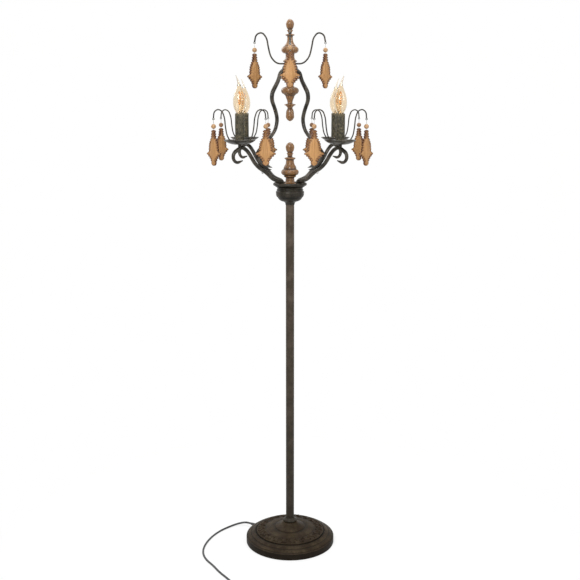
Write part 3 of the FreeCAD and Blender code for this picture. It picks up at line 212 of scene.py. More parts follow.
def softPath(points, share=0.45, step=0.2):
    # straight runs joined by arcs that take the given share of the shorter run
    path = [points[0]]
    for before, corner, after in zip(points, points[1:], points[2:]):
        back, ahead = before - corner, after - corner
        reach = share * min(back.length, ahead.length)
        back.normalize()
        ahead.normalize()
        turn = math.pi - back.angle(ahead)
        radius = reach / math.tan(turn / 2)
        centre = corner + (back + ahead).normalized() * (radius / math.cos(turn / 2))
        enter, leave = corner + back * reach - centre, corner + ahead * reach - centre
        count = max(2, math.ceil(turn / step))
        for k in range(count + 1):
            near, far = math.sin(turn * (1 - k / count)), math.sin(turn * k / count)
            path.append(centre + (enter * near + leave * far) / math.sin(turn))
    return path + [points[-1]]


def inPlane(route, height=0.0):
    # (distance, height) pairs as points of the XZ plane
    return [Vector((distance, 0, z + height)) for distance, z in route]


def aboutAxis(degrees):
    return Matrix.Rotation(math.radians(degrees), 4, "Z")


# camera, as the photograph's

cameraSetting = {
    "place": (0.0, -2.666, 1.317),
    "tilt": 9.32,  # degrees down from level
    "lens": 56.70,
    "shift": -0.05,
    "clip": (0.05, 60.0),
}


def makeCamera(setting):
    data = bpy.data.cameras.new("view camera")
    data.lens = setting["lens"]
    data.shift_y = setting["shift"]
    data.clip_start, data.clip_end = setting["clip"]
    camera = newObject("view camera", data)
    camera.location = setting["place"]
    camera.rotation_euler = (math.radians(90.0 - setting["tilt"]), 0.0, 0.0)
    bpy.context.scene.camera = camera


makeCamera(cameraSetting)
print("camera placed")


# node trees

def setInputs(node, values):
    # each socket takes a value, or a link from another node's output
    for key, value in values.items():
        if isinstance(value, bpy.types.NodeSocket):
            node.id_data.links.new(value, node.inputs[key])
        else:
            node.inputs[key].default_value = value


def addNode(tree, kind, place, values=None, **settings):
    node = tree.nodes.new(kind)
    node.location = place
    for key, value in settings.items():
        setattr(node, key, value)
    setInputs(node, values or {})
    return node


def addMath(tree, operation, place, *values):
    node = addNode(tree, "ShaderNodeMath", place, dict(enumerate(values)), operation=operation)
    return node.outputs[0]


def addMix(tree, place, factor, first, second):
    values = {"Factor": factor, "A": first, "B": second}
    return addNode(tree, "ShaderNodeMix", place, values, data_type="RGBA").outputs["Result"]


def newTree(name, kind, inputs, outputs):
    # each socket is given by its name, its kind and, where it has one, its value
    tree = bpy.data.node_groups.new(name, kind)
    for way, sockets in (("INPUT", inputs), ("OUTPUT", outputs)):
        for label, sort, *value in sockets:
            socket = tree.interface.new_socket(
                name=label, in_out=way, socket_type="NodeSocket" + sort)
            if value:
                socket.default_value = value[0]
    return tree


# shader groups that the finishes share

finishOutputs = [("Color", "Color"), ("Roughness", "Float"), ("Height", "Float")]


def agedPaintGroup():
    # dark paint with paler rubbed patches and fine pits
    group = newTree("aged paint", "ShaderNodeTree", [
        ("Dark", "Color", (0.03, 0.028, 0.022, 1)), ("Rubbed", "Color", (0.09, 0.085, 0.07, 1)),
        ("Patch Scale", "Float", 40.0), ("Pit Scale", "Float", 700.0),
        ("Rubbed Amount", "Float", 0.5), ("Roughness", "Float", 0.5),
    ], finishOutputs)
    given = addNode(group, "NodeGroupInput", (-900, 0)).outputs
    coords = addNode(group, "ShaderNodeTexCoord", (-900, -300)).outputs["Object"]
    patches = addNode(group, "ShaderNodeTexNoise", (-600, 150), {
        "Vector": coords, "Scale": given["Patch Scale"], "Detail": 5.0, "Roughness": 0.65})
    pits = addNode(group, "ShaderNodeTexNoise", (-600, -200), {
        "Vector": coords, "Scale": given["Pit Scale"], "Detail": 3.0}).outputs["Fac"]
    mask = addNode(group, "ShaderNodeMapRange", (-350, 150), {
        "Value": patches.outputs["Fac"], "From Min": 0.42, "From Max": 0.66}).outputs["Result"]
    amount = addMath(group, "MULTIPLY", (-150, 150), mask, given["Rubbed Amount"])
    addNode(group, "NodeGroupOutput", (500, 0), {
        "Color": addMix(group, (100, 150), amount, given["Dark"], given["Rubbed"]),
        "Roughness": addMath(group, "MULTIPLY_ADD", (100, -50), pits, 0.18, given["Roughness"]),
        "Height": pits})
    return group


def woodGrainGroup():
    # long streaks that run up the piece
    group = newTree("wood grain", "ShaderNodeTree", [
        ("Light", "Color", (0.5, 0.3, 0.15, 1)), ("Dark", "Color", (0.25, 0.12, 0.05, 1)),
        ("Streaks", "Float", 260.0), ("Stretch", "Float", 0.06), ("Contrast", "Float", 0.6),
    ], finishOutputs)
    given = addNode(group, "NodeGroupInput", (-1000, 0)).outputs
    coords = addNode(group, "ShaderNodeTexCoord", (-1000, -300)).outputs["Object"]
    squeeze = addNode(group, "ShaderNodeCombineXYZ", (-800, -150), {
        "X": 1.0, "Y": 1.0, "Z": given["Stretch"]}).outputs["Vector"]
    stretched = addNode(group, "ShaderNodeVectorMath", (-600, -200), {
        0: coords, 1: squeeze}, operation="MULTIPLY").outputs["Vector"]
    streaks = addNode(group, "ShaderNodeTexNoise", (-400, 100), {
        "Vector": stretched, "Scale": given["Streaks"], "Detail": 4.0,
        "Distortion": 0.6}).outputs["Fac"]
    mask = addNode(group, "ShaderNodeMapRange", (-150, 100), {
        "Value": streaks, "From Min": 0.38, "From Max": 0.68}).outputs["Result"]
    amount = addMath(group, "MULTIPLY", (50, 100), mask, given["Contrast"])
    addNode(group, "NodeGroupOutput", (500, 0), {
        "Color": addMix(group, (250, 150), amount, given["Light"], given["Dark"]),
        "Roughness": addMath(group, "MULTIPLY_ADD", (250, -50), streaks, 0.2, 0.3),
        "Height": streaks})
    return group


agedPaint = agedPaintGroup()
woodGrain = woodGrainGroup()


# materials

def newMaterial(name, values):
    material = bpy.data.materials.new(name)
    material.use_nodes = True
    setInputs(material.node_tree.nodes["Principled BSDF"], values)
    return material


def plainMaterial(name, colour, roughness, metallic=0.0, specular=0.5):
    return newMaterial(name, {"Base Color": (*colour, 1), "Roughness": roughness,
                              "Metallic": metallic, "Specular IOR Level": specular})


def groupMaterial(name, group, values, bump, metallic=0.0, specular=0.5, paintedLight=None, coat=0.0):
    # bump is a strength and a distance in metres; the painted light colour covers where a mesh's
    # rim is 1
    material = newMaterial(name, {"Metallic": metallic, "Specular IOR Level": specular,
                                  "Coat Weight": coat, "Coat Roughness": 0.22})
    tree = material.node_tree
    effect = addNode(tree, "ShaderNodeGroup", (-500, 100), node_tree=group)
    setInputs(effect, values)
    colour = effect.outputs["Color"]
    # painted light: mostly painted shade, and a painted highlight on the candle sleeves' lip
    if paintedLight:
        rim = addNode(tree, "ShaderNodeAttribute", (-500, 350), attribute_name="rim")
        colour = addMix(tree, (-200, 300), rim.outputs["Fac"], colour, (*paintedLight, 1))
    relief = addNode(tree, "ShaderNodeBump", (-250, -150), {
        "Strength": bump[0], "Distance": bump[1], "Height": effect.outputs["Height"]})
    setInputs(tree.nodes["Principled BSDF"], {
        "Base Color": colour, "Roughness": effect.outputs["Roughness"],
        "Normal": relief.outputs["Normal"]})
    return material


frameBronze = groupMaterial(
    "frame bronze", agedPaint,
    {"Dark": (0.015, 0.0122, 0.0085, 1), "Rubbed": (0.112, 0.096, 0.074, 1), "Patch Scale": 44.0,
     "Pit Scale": 480.0, "Rubbed Amount": 0.6, "Roughness": 0.22},
    bump=(0.25, 0.0006), metallic=0.1, specular=0.25, paintedLight=(0.006, 0.005, 0.004),
)
# its painted light colour is painted shade, darker towards the floor
poleBronze = groupMaterial(
    "pole bronze", agedPaint,
    {"Dark": (0.046, 0.035, 0.024, 1), "Rubbed": (0.105, 0.080, 0.060, 1), "Patch Scale": 38.0,
     "Pit Scale": 400.0, "Rubbed Amount": 0.7, "Roughness": 0.36},
    bump=(0.3, 0.0006), metallic=0.1, specular=0.18, paintedLight=(0.009, 0.008, 0.004),
)
# its painted light colour is painted shade in the grooves, on the rim's side and round the leaves
baseBronze = groupMaterial(
    "base bronze", agedPaint,
    {"Dark": (0.020, 0.0128, 0.0066, 1), "Rubbed": (0.051, 0.036, 0.020, 1), "Patch Scale": 30.0,
     "Pit Scale": 320.0, "Rubbed Amount": 0.85, "Roughness": 0.40},
    bump=(0.4, 0.0009), metallic=0.0, specular=0.07, paintedLight=(0.006, 0.004, 0.0025),
)
# its painted light colour is painted shade in the grooves
hubBronze = groupMaterial(
    "hub bronze", agedPaint,
    {"Dark": (0.017, 0.014, 0.010, 1), "Rubbed": (0.060, 0.050, 0.036, 1), "Patch Scale": 50.0,
     "Pit Scale": 480.0, "Rubbed Amount": 0.6, "Roughness": 0.30},
    bump=(0.25, 0.0006), metallic=0.1, specular=0.2, paintedLight=(0.004, 0.003, 0.002),
)
# its painted light colour is a painted highlight on the lip
sleeveBronze = groupMaterial(
    "sleeve bronze", agedPaint,
    {"Dark": (0.020, 0.018, 0.010, 1), "Rubbed": (0.17, 0.145, 0.085, 1), "Patch Scale": 210.0,
     "Pit Scale": 600.0, "Rubbed Amount": 0.7, "Roughness": 0.36},
    bump=(0.9, 0.0014), metallic=0.1, specular=0.3, paintedLight=(0.11, 0.085, 0.045),
)
# its painted light colour is painted shade in the grooves
turnedWood = groupMaterial(
    "turned wood", woodGrain,
    {"Light": (0.255, 0.125, 0.040, 1), "Dark": (0.095, 0.040, 0.012, 1), "Streaks": 260.0,
     "Stretch": 0.09, "Contrast": 0.8},
    bump=(0.12, 0.0004), specular=0.3, paintedLight=(0.035, 0.014, 0.006), coat=0.45,
)
beadWood = groupMaterial(
    "bead wood", woodGrain,
    {"Light": (0.46, 0.28, 0.14, 1), "Dark": (0.20, 0.095, 0.04, 1), "Streaks": 300.0,
     "Stretch": 0.3, "Contrast": 0.7},
    bump=(0.1, 0.0003), specular=0.3,
)
# a darker copy of the bead wood for the back pendants: painted shade
shadedBead = groupMaterial(
    "shaded bead wood", woodGrain,
    {"Light": (0.27, 0.140, 0.065, 1), "Dark": (0.10, 0.042, 0.017, 1), "Streaks": 300.0,
     "Stretch": 0.3, "Contrast": 0.7},
    bump=(0.1, 0.0003), specular=0.3,
)
# its painted light colour is painted shade along the edges, in the carving and the nicks
carvedWood = groupMaterial(
    "carved wood", woodGrain,
    {"Light": (0.46, 0.250, 0.100, 1), "Dark": (0.27, 0.130, 0.046, 1), "Streaks": 330.0,
     "Stretch": 0.07, "Contrast": 0.8},
    bump=(0.15, 0.0004), specular=0.25, paintedLight=(0.085, 0.028, 0.010),
)
blackCord = plainMaterial("black cord", (0.02, 0.02, 0.021), 0.42)
buttonBlack = plainMaterial("button black", (0.03, 0.03, 0.032), 0.28)
plainSteel = plainMaterial("plain steel", (0.38, 0.38, 0.37), 0.35, metallic=0.9)
feltBlack = plainMaterial("felt black", (0.03, 0.03, 0.03), 0.95, specular=0.1)
capBrass = plainMaterial("cap brass", (0.62, 0.47, 0.22), 0.3, metallic=1.0)
amberWire = plainMaterial("amber wire", (0.78, 0.36, 0.07), 0.4, metallic=0.2)
paleGlass = plainMaterial("pale glass", (0.75, 0.62, 0.42), 0.2)
bulbGlass = newMaterial("bulb glass", {"Base Color": (0.905, 0.812, 0.675, 1), "Roughness": 0.02,
                                       "Transmission Weight": 1.0, "IOR": 1.35})
print("materials made")


# cords: their points are those of the solids, in mm; the exit and the lengths are in metres

cordSetting = {
    "diameter": 0.006,
    "exit": (-0.12353, 0.08975, 0.011),
    "lead": [
        (-135.9, 98.7, 11), (-151.6, 102, 9.3), (-171.2, 97.8, 6.2), (-194.9, 83, 3.5),
        (-222.7, 54.2, 3), (-246.9, 10.5, 3), (-262.1, -42.4, 3), (-263.8, -90.4, 3),
        (-249.9, -133.2, 3), (-225.8, -167.6, 3), (-204.7, -207.3, 3), (-176.5, -246.1, 3),
        (-155.5, -282.5, 3), (-130.9, -299.7, 5), (-105.5, -305.1, 9),
    ],
    "switchIn": (-79.5, -305.1, 9.0),
    "switchOut": (-11.5, -305.1, 9.0),
    "tail": [(8.0, -305.1, 9.0), (28.0, -298.0, 5.5), (48.0, -284.0, 3.0), (66.0, -279.5, 3.0)],
    "coilStart": (86.0, -279.5, 3.0),
    "leadLength": 0.574,
    "tailLength": 1.232,
}
coilSetting = {
    "turns": 5.5,
    "pitch": 6.5,
    "layer": 6.45,
    "climb": 0.5,  # turns over which the coil climbs to its upper layer
    "innerRadius": 23.3,
    "stub": 14.0,
    "pointsPerTurn": 14,
}


def metres(point):
    return tuple(c * mm for c in point)


def coilPlace(turns, coil, start):
    # inwards on the floor, and outwards again on top
    middle = coil["turns"] / 2
    outer = coil["innerRadius"] + coil["pitch"] * middle
    radius = coil["innerRadius"] + coil["pitch"] * abs(turns - middle)
    angle = math.pi / 2 - 2 * math.pi * turns
    share = clamped((turns - middle) / coil["climb"] + 0.5)
    height = coil["layer"] * share * share * (3 - 2 * share)
    x, y = radius * math.cos(angle), radius * math.sin(angle)
    return (start[0] + x, start[1] - outer + y, start[2] + height)


def newCurve(name, kind, points):
    data = bpy.data.curves.new(name, "CURVE")
    data.dimensions = "3D"
    spline = data.splines.new(kind)
    spline.points.add(len(points) - 1)
    for point, place in zip(spline.points, points):
        point.co = (*place, 1.0)
    return data


def cordCurve(name, points, diameter):
    data = newCurve(name, "NURBS", points)
    data.bevel_depth = diameter / 2
    data.bevel_resolution = 3
    data.use_fill_caps = True
    spline = data.splines[0]
    spline.order_u = 3
    spline.use_endpoint_u = True
    spline.resolution_u = 6
    data.materials.append(blackCord)
    obj = newObject(name, data)
    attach(obj, "lamp")
    return obj


def makeCords(setting, coil):
    leadPoints = [metres(p) for p in setting["lead"] + [setting["switchIn"]]]
    lead = cordCurve("cord_to_the_switch", [setting["exit"]] + leadPoints, setting["diameter"])
    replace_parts(lead, "cord_lead")
    steps = coil["pointsPerTurn"]
    coilPoints = [coilPlace(k / steps, coil, setting["coilStart"])
                  for k in range(int(coil["turns"] * steps) + 1)]
    x, y, z = coilPoints[-1]
    tailPoints = [setting["switchOut"]] + setting["tail"] + coilPoints + [(x - coil["stub"], y, z)]
    tail = cordCurve("cord_to_the_plug", [metres(p) for p in tailPoints], setting["diameter"])
    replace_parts(tail, "cord_tail", "cord_coil")
    return lead, tail


leadCord, tailCord = makeCords(cordSetting, coilSetting)
print("cords laid")


# pieces that keep their solid's shape, with the triangles joined and smooth sides

finishes = {  # material, and the angle from which an edge stays sharp
    "base_pad": (feltBlack, 30), "cord_strain_relief": (blackCord, 40),
    "pole_foot_collar": (poleBronze, 50), "pole_lower": (poleBronze, 40),
    "pole_middle": (poleBronze, 40), "pole_upper": (poleBronze, 40),
    "crown_cap": (frameBronze, 40), "candle_stems": (frameBronze, 40),
    "lyre_screws": (plainSteel, 30), "bulb_caps": (capBrass, 40),
    "foot_switch_case": (blackCord, 35), "foot_switch_button": (buttonBlack, 40),
    "plug": (blackCord, 35),
}
poleShade = {"most": 0.75, "top": 0.95}  # share of painted shade at the floor, height where it ends, m


def finishedCopy(node, material, angle):
    source = frame["nodes"][node]
    mesh = source.data.copy()
    weld(mesh, 2e-6, outward=False)
    for layer in list(mesh.attributes):
        if layer.name in ("custom_normal", "sharp_face"):
            mesh.attributes.remove(layer)
    # painted shade: the pole darker towards the floor
    if material == poleBronze:
        most, top = poleShade["most"], poleShade["top"]
        addRim(mesh, [clamped(most * (1 - vert.co.z / top)) for vert in mesh.vertices])
    shadeByAngle(mesh, angle)
    obj = linkObject("finished_" + node, mesh, material, source["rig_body"])
    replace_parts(obj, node)
    return obj


finished = {node: finishedCopy(node, *finish) for node, finish in finishes.items()}
print("solids finished:", len(finished))


# turned wood: (radius, height) and, where a stretch is curved, its bulge

finialSetting = {
    "sides": 40,
    "lower": [
        (0, 0), (19, 0), (19, 4, 0.8), (13, 15, -2.2), (13, 22, -0.6), (17.2, 24, 0.5),
        (17.2, 27, 0.6), (18.5, 28.5), (18.9, 45.5, 7), (16, 55.5, 0.8), (11.8, 68, -1.2),
        (12.2, 73.5, -0.4), (15.1, 75), (15.1, 79, 0.8), (7, 82, -0.6), (9.3, 90.5, -0.8),
        (9.3, 92.5, 0.4), (7.2, 94, -0.4), (11.9, 104.5, 1), (0.5, 123.5, 5), (0, 123.5),
    ],
    "upper": [
        (0, 0), (19.5, 0), (19.5, 3, 0.8), (12.5, 16.5, -2.4), (12.5, 21.5, 0.3), (17, 23.5, -0.4),
        (17, 43, 7.6), (15.5, 46, 0.5), (8.3, 63, -1.8), (8.6, 71.5, -0.6), (12.2, 73),
        (12.2, 76, 0.8), (4.6, 78.5, -0.5), (8.2, 86, -0.6), (8.2, 88, 0.4), (6, 89.5, -0.3),
        (11, 100.5, 1), (0.5, 119, 4.6), (0, 119),
    ],
    "drop": [
        (0, 0), (18, 0), (18, 4, 0.8), (9.5, 22, -2.6), (10.5, 41, -1.2), (16.5, 45, -0.8),
        (17.6, 64.5, 8.4), (15, 67, 0.6), (11.5, 75, -0.6), (7.4, 88, -0.8), (8, 91.5, -0.4),
        (15.4, 93), (15.4, 96, 0.8), (8.6, 101, -0.8), (7, 104, -0.3), (11.4, 122, 1.6),
        (0.5, 141.5, 4.8), (0, 141.5),
    ],
}


def makeFinial(name, stations, sides):
    low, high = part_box(name + "_finial")
    outline = turnedOutline(stations)
    # painted shade in the grooves
    mesh = latheMesh(name + " finial", outline, sides, paintedLights=grooveShade(outline))
    if name == "drop":
        mesh.transform(Matrix.Translation((0, 0, high[2])) @ Matrix.Rotation(math.pi, 4, "X"))
    else:
        mesh.transform(Matrix.Translation((0, 0, low[2])))
    obj = linkObject("turned_" + name + "_finial", mesh, turnedWood)
    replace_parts(obj, name + "_finial")


for finialName in ("lower", "upper", "drop"):
    makeFinial(finialName, finialSetting[finialName], finialSetting["sides"])
print("finials turned")


# base cover and hub

coverSetting = {
    "sides": 96,
    "shadeFrom": 134.0,  # the rim's side is painted darker from this radius, as painted shade
    "shadeShare": 0.8,
    "wall": 2.0,
    "hollowFrom": 20.0,  # the underside starts at this radius
    "outline": [  # from the foot of the rim in to the pole
        (135, 1), (135, 17.5), (133.8, 19, 0.3), (131, 20.6), (130, 20.9), (128.6, 22.6, 0.2),
        (120, 27.6, 0.5), (118.8, 27.5), (117.6, 29, 0.2), (107.2, 34.2, 0.5), (105.6, 32.8),
        (104, 33), (103.2, 36), (101.6, 37.2, 0.5), (99, 37.6), (76, 41.2, 0.4), (74.6, 41.3),
        (72, 42.6, 0.2), (47, 46.4, 0.9), (45.8, 46.4), (44.4, 48, 0.4), (42.6, 49), (30, 55, -0.6),
        (21.5, 64, -1), (12.6, 64),
    ],
}
hubSetting = {
    "sides": 72,
    "bowl": [
        (5.1, 0), (12.5, 0), (13.6, 2.2, 0.5), (13.6, 4), (21.2, 10, -1.2), (23, 10.4),
        (36.4, 22.6, 2.2), (37.4, 22.8), (38.6, 24.4, 0.4), (40.8, 33, 1), (40.2, 40.2, 0.8),
        (38.8, 41.2), (38, 43.4, -0.4), (38, 46, 0.9), (36.8, 47.6), (38.2, 50.4, -0.5),
        (42.8, 53.5, -0.5), (40.8, 53.5), (35.6, 48), (38.8, 33), (21.2, 12), (5.1, 3),
    ],
    "cover": [
        (5.1, -2), (39.8, -2), (40.8, -4.5), (44.8, -2.2), (44.8, 6.8, 4.5), (41.3, 3.3, -1),
        (38.3, 0), (5.1, 0),
    ],
}


def makeCover(setting):
    outline, wall = setting["outline"], setting["wall"]
    foot = outline[0][1]
    inner = [Vector((radius - wall, max(height - wall, foot)))
             for radius, height, *bulge in reversed(outline) if radius > setting["hollowFrom"]]
    shell = turnedOutline(outline) + inner
    paintedLights = grooveShade(shell)
    # painted shade on the rim's side
    for i, spot in enumerate(shell):
        if spot.x > setting["shadeFrom"]:
            paintedLights[i] = max(paintedLights[i], setting["shadeShare"])
    mesh = latheMesh("base cover", shell, setting["sides"], closed=True, paintedLights=paintedLights)
    obj = linkObject("turned_base_cover", mesh, baseBronze)
    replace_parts(obj, "base_cover")


def makeHub(setting):
    for piece, seat in (("bowl", "hub_bowl"), ("cover", "lower_finial")):
        outline = turnedOutline(setting[piece])
        # painted shade in the grooves
        mesh = latheMesh("hub " + piece, outline, setting["sides"], closed=True,
                         paintedLights=grooveShade(outline))
        mesh.transform(Matrix.Translation((0, 0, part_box(seat)[0][2])))
        obj = linkObject("turned_hub_" + piece, mesh, hubBronze)
        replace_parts(obj, "hub_" + piece)


makeCover(coverSetting)
makeHub(hubSetting)
print("base and hub turned")


# arms and lyre rods

armSetting = {
    "radius": 5.5,
    "sides": 18,
    "route": [  # distance from the lamp's axis, height above the hub's floor
        (30, -16), (30, 4.8), (37, 11.8), (52, 15), (70, 20.5), (98, 42.5), (120, 52.5),
        (140, 68.5), (158, 93.5), (171, 107), (188.5, 115), (211, 103),
    ],
    "rest": (5, 6),  # the lyre rod lies along this run
    "scrollRadius": 16.0,
    "scrollEnd": -105.0,
    "scrollThin": 4.0,
    "scrollSteps": 16,
    "tail": 15.0,
    "tip": 1.5,
}
corners = {
    "front_left": (-1, -1), "front_right": (1, -1), "back_left": (-1, 1), "back_right": (1, 1),
}
lyreSetting = {
    "radius": 5.0,
    "gap": 0.2,
    "tail": 19.5,
    "tailKnee": 0.4,  # share of the tail that goes on along the arm
    "tailThin": 0.6,
    "tailLean": 2.0,  # how much the rest of it turns towards the lamp's axis
    "tip": 0.8,
    "bow": [
        (127, 76), (134, 92), (114, 113.5), (84, 133.5), (59, 159), (51, 189), (59.5, 216),
        (74, 243), (72.5, 264), (57, 285), (46.5, 300), (40.5, 318.5), (29, 326.5), (17, 334),
    ],
}
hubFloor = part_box("lower_finial")[0][2] / mm


def armMesh(arm):
    path = softPath(inPlane(arm["route"], hubFloor))
    radii = [arm["radius"]] * len(path)
    heading = (path[-1] - path[-2]).normalized()
    centre = path[-1] + Vector((heading.z, 0, -heading.x)) * arm["scrollRadius"]
    first = math.atan2(path[-1].z - centre.z, path[-1].x - centre.x)
    last = math.radians(arm["scrollEnd"])
    for k in range(1, arm["scrollSteps"] + 1):
        angle = first + (last - first) * k / arm["scrollSteps"]
        path.append(centre + Vector((math.cos(angle), 0, math.sin(angle))) * arm["scrollRadius"])
        thinning = (arm["scrollThin"] - arm["radius"]) * k / arm["scrollSteps"]
        radii.append(arm["radius"] + thinning)
    path.append(path[-1] + Vector((math.sin(angle), 0, -math.cos(angle))) * arm["tail"])
    radii.append(arm["tip"])
    return tubeMesh("arm", [p * mm for p in path], [r * mm for r in radii], arm["sides"])


def lyreMesh(arm, lyre):
    low, high = inPlane([arm["route"][k] for k in arm["rest"]], hubFloor)
    run = (high - low).normalized()
    lift = Vector((-run.z, 0, run.x)) * (arm["radius"] + lyre["radius"] + lyre["gap"])
    path = softPath([low + lift, high + lift] + inPlane(lyre["bow"], hubFloor))
    flat = (Vector((-lyre["tailLean"], 0, 0)) - run).normalized()
    knee = path[0] - run * (lyre["tail"] * lyre["tailKnee"])
    ends = [knee + flat * (lyre["tail"] * (1 - lyre["tailKnee"])), knee]
    radii = [lyre["tip"], lyre["radius"] * lyre["tailThin"]] + [lyre["radius"]] * len(path)
    return tubeMesh("lyre rod", [p * mm for p in ends + path], [r * mm for r in radii],
                    arm["sides"])


def makeArms(arm, lyre):
    shapes = {"arm": armMesh(arm), "lyre_rod": lyreMesh(arm, lyre)}
    for mesh in shapes.values():
        shadeByAngle(mesh, 60)
    for corner, (x, y) in corners.items():
        for kind, mesh in shapes.items():
            placed = mesh.copy()
            placed.transform(aboutAxis(math.degrees(math.atan2(y, x))))
            obj = linkObject("forged_%s_%s" % (kind, corner), placed, frameBronze)
            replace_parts(obj, "%s_%s" % (kind, corner))


makeArms(armSetting, lyreSetting)
print("arms and rods forged")


# flame bulbs

bulbSetting = {
    "reach": 195.0 / math.sqrt(2),  # along X and along Y, from the lamp's axis
    "base": 1310.1,  # the glass's lower end
    "sides": 28,
    "wall": 0.7,
    "profile": [  # lean, height, radius
        (0, 0, 8), (0, 4, 10.6), (0, 11, 14.2), (0, 20, 17), (0, 30, 18), (0, 40, 17.2),
        (0, 50, 15), (0, 58, 12.2), (0, 66, 8.8), (0.3, 72, 6.4), (0.9, 77, 4.8), (1.9, 83, 3.5),
        (3.2, 88, 2.7), (5, 93, 2), (6.8, 97, 1.5), (8.2, 101, 1.1), (9, 103.5, 0.5),
    ],
    "innerTop": 11,  # the hollow ends below this profile point
    "thinnest": 0.3,
}


def bulbRings(setting, outward, inset, last):
    return [(outward * lean, height + inset, max(radius - inset, setting["thinnest"]))
            for lean, height, radius in setting["profile"][:last]]


def bulbMesh(name, setting, outward):
    # the glass and, inside it, its inner wall; the tip leans to the outward side
    sides = setting["sides"]
    outer = bulbRings(setting, outward, 0.0, None)
    inner = bulbRings(setting, outward, setting["wall"], setting["innerTop"])[::-1]
    verts, faces = [], []
    for shell in (outer, inner):
        faces += ringFaces(len(shell), sides, first=len(verts))
        for lean, height, radius in shell:
            verts += [((lean + radius * x) * mm, radius * y * mm, height * mm)
                      for x, y in around(sides)]
    mesh = meshFrom(name, verts, faces)
    for face in mesh.polygons:
        face.use_smooth = len(face.vertices) == 4
    return mesh


def joined(name, parts, material, body):
    # one mesh from several, each given with the matrix that places it
    bm = bmesh.new()
    for mesh, matrix in parts:
        piece = mesh.copy()
        piece.transform(matrix)
        bm.from_mesh(piece)
        bpy.data.meshes.remove(piece)
    whole = bpy.data.meshes.new(name)
    bm.to_mesh(whole)
    bm.free()
    return linkObject(name, whole, material, body)


def candlePlace(setting, corner, height):
    x, y = (side * setting["reach"] for side in corner)
    return Matrix.Translation(Vector((x, y, height)) * mm)


def makeBulbs(setting):
    leans = {side: bulbMesh("flame bulb", setting, side) for side in (-1, 1)}
    parts = [(leans[c[0]], candlePlace(setting, c, setting["base"])) for c in corners.values()]
    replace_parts(joined("flame_bulbs", parts, bulbGlass, "lamp"), "bulb_glass")


filamentSetting = {
    "stem": [(4.2, 1.2), (3.0, 6.0), (1.6, 16.0), (1.5, 22.0), (0.5, 24.0)],
    "stemSides": 12,
    "bottom": 24.0,
    "top": 60.0,
    "straight": 9.0,  # half of the length that runs straight
    "out": (1.0, 3.4, 3.4, 0.6),  # distance from the bulb's axis, from the bottom to the top
    "strands": 4,
    "wire": 0.8,
    "wireSides": 6,
}


def makeFilaments(bulb, setting):
    stem = latheMesh("bulb stem", setting["stem"], setting["stemSides"])
    middle = (setting["bottom"] + setting["top"]) / 2
    heights = (setting["bottom"], middle - setting["straight"], middle + setting["straight"],
               setting["top"])
    strands = []
    for x, y in around(setting["strands"]):
        points = [(up * height + Vector((x, y, 0)) * out) * mm
                  for height, out in zip(heights, setting["out"])]
        radii = [setting["wire"] * mm] * len(points)
        strands.append(tubeMesh("strand", points, radii, setting["wireSides"]))
    places = [candlePlace(bulb, c, bulb["base"]) for c in corners.values()]
    joined("bulb_stems", [(stem, p) for p in places], paleGlass, "lamp")
    wires = [(strand, p) for p in places for strand in strands]
    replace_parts(joined("bulb_filaments", wires, amberWire, "lamp"), "bulb_filaments")


makeBulbs(bulbSetting)
makeFilaments(bulbSetting, filamentSetting)
print("bulbs made")


# drip pans and candle sleeves

panSetting = {
    "sides": 56,
    "outline": [
        (3.5, -1.5), (14, -1.5), (30.5, 2.5, 0.7), (42.4, 9.6, 0.5), (43.5, 11), (42.5, 11.75),
        (41.2, 10.6), (29.9, 4, -0.5), (14, 0, -0.7), (3.5, 0),
    ],
}
sleeveSetting = {
    "sides": 48,
    "radius": 12.75,
    "wall": 1.5,
    "height": 84.0,
    "rings": 10,
    "foot": [(-1.5, 0.2), (0.4, 0.2), (0.0, 5.0)],  # offset from the radius, height
    "lip": [(0.0, 1.2), (-0.5, 0.2), (-1.4, 0.5), (-1.5, 3.0)],  # the same, below the top
    # how deep the lip's top is painted lighter: a painted highlight
    "litLip": 1.5,
    "looseLip": 4.0,  # the lip wanders up and down from here
    "lipRise": 0.9,
    "lipWaves": [(0.5, 2, 1.0, 0.0), (0.4, 5, 0.0, 0.0)],  # strength, lobes, start, twist
    "bulge": 0.14,
    "sideWaves": [(1.0, 3, 0.0, 0.09), (0.6, 7, 0.0, -0.17)],
    "sideDip": 1.0,  # keeps the side within its radius
    "turn": 67,  # degrees from each sleeve to the next
}


def wander(waves, angle, height):
    return sum(strength * math.sin(lobes * angle + start + twist * height)
               for strength, lobes, start, twist in waves)


def sleeveMesh(setting):
    # a hand-shaped tube: its side and its lip wander a little
    radius, top = setting["radius"], setting["height"]
    foot = [(radius + out, height) for out, height in setting["foot"]]
    lip = [(radius + out, top - drop) for out, drop in setting["lip"]]
    low, high, rings = foot[-1][1], lip[0][1], setting["rings"]
    side = [(radius, low + (high - low) * k / rings) for k in range(1, rings)]
    outline = foot + side + lip
    # a painted highlight along the lip's top
    paintedLights = [1.0 if height > top - setting["litLip"] else 0.0 for out, height in outline]
    mesh = latheMesh("candle sleeve", outline, setting["sides"], closed=True, sharp=60,
                     paintedLights=paintedLights)
    outside = (radius - setting["wall"] / 2) * mm
    lowest = sum(strength for strength, *wave in setting["lipWaves"])
    for vert in mesh.vertices:
        angle, height = math.atan2(vert.co.y, vert.co.x), vert.co.z / mm
        out = Vector((vert.co.x, vert.co.y, 0))
        if out.length > outside and height > 1:
            share = wander(setting["sideWaves"], angle, height) - setting["sideDip"]
            vert.co += out.normalized() * (setting["bulge"] * share * mm)
        if height > top - setting["looseLip"]:
            share = wander(setting["lipWaves"], angle, height) - lowest
            vert.co.z += setting["lipRise"] * share * mm
    return mesh


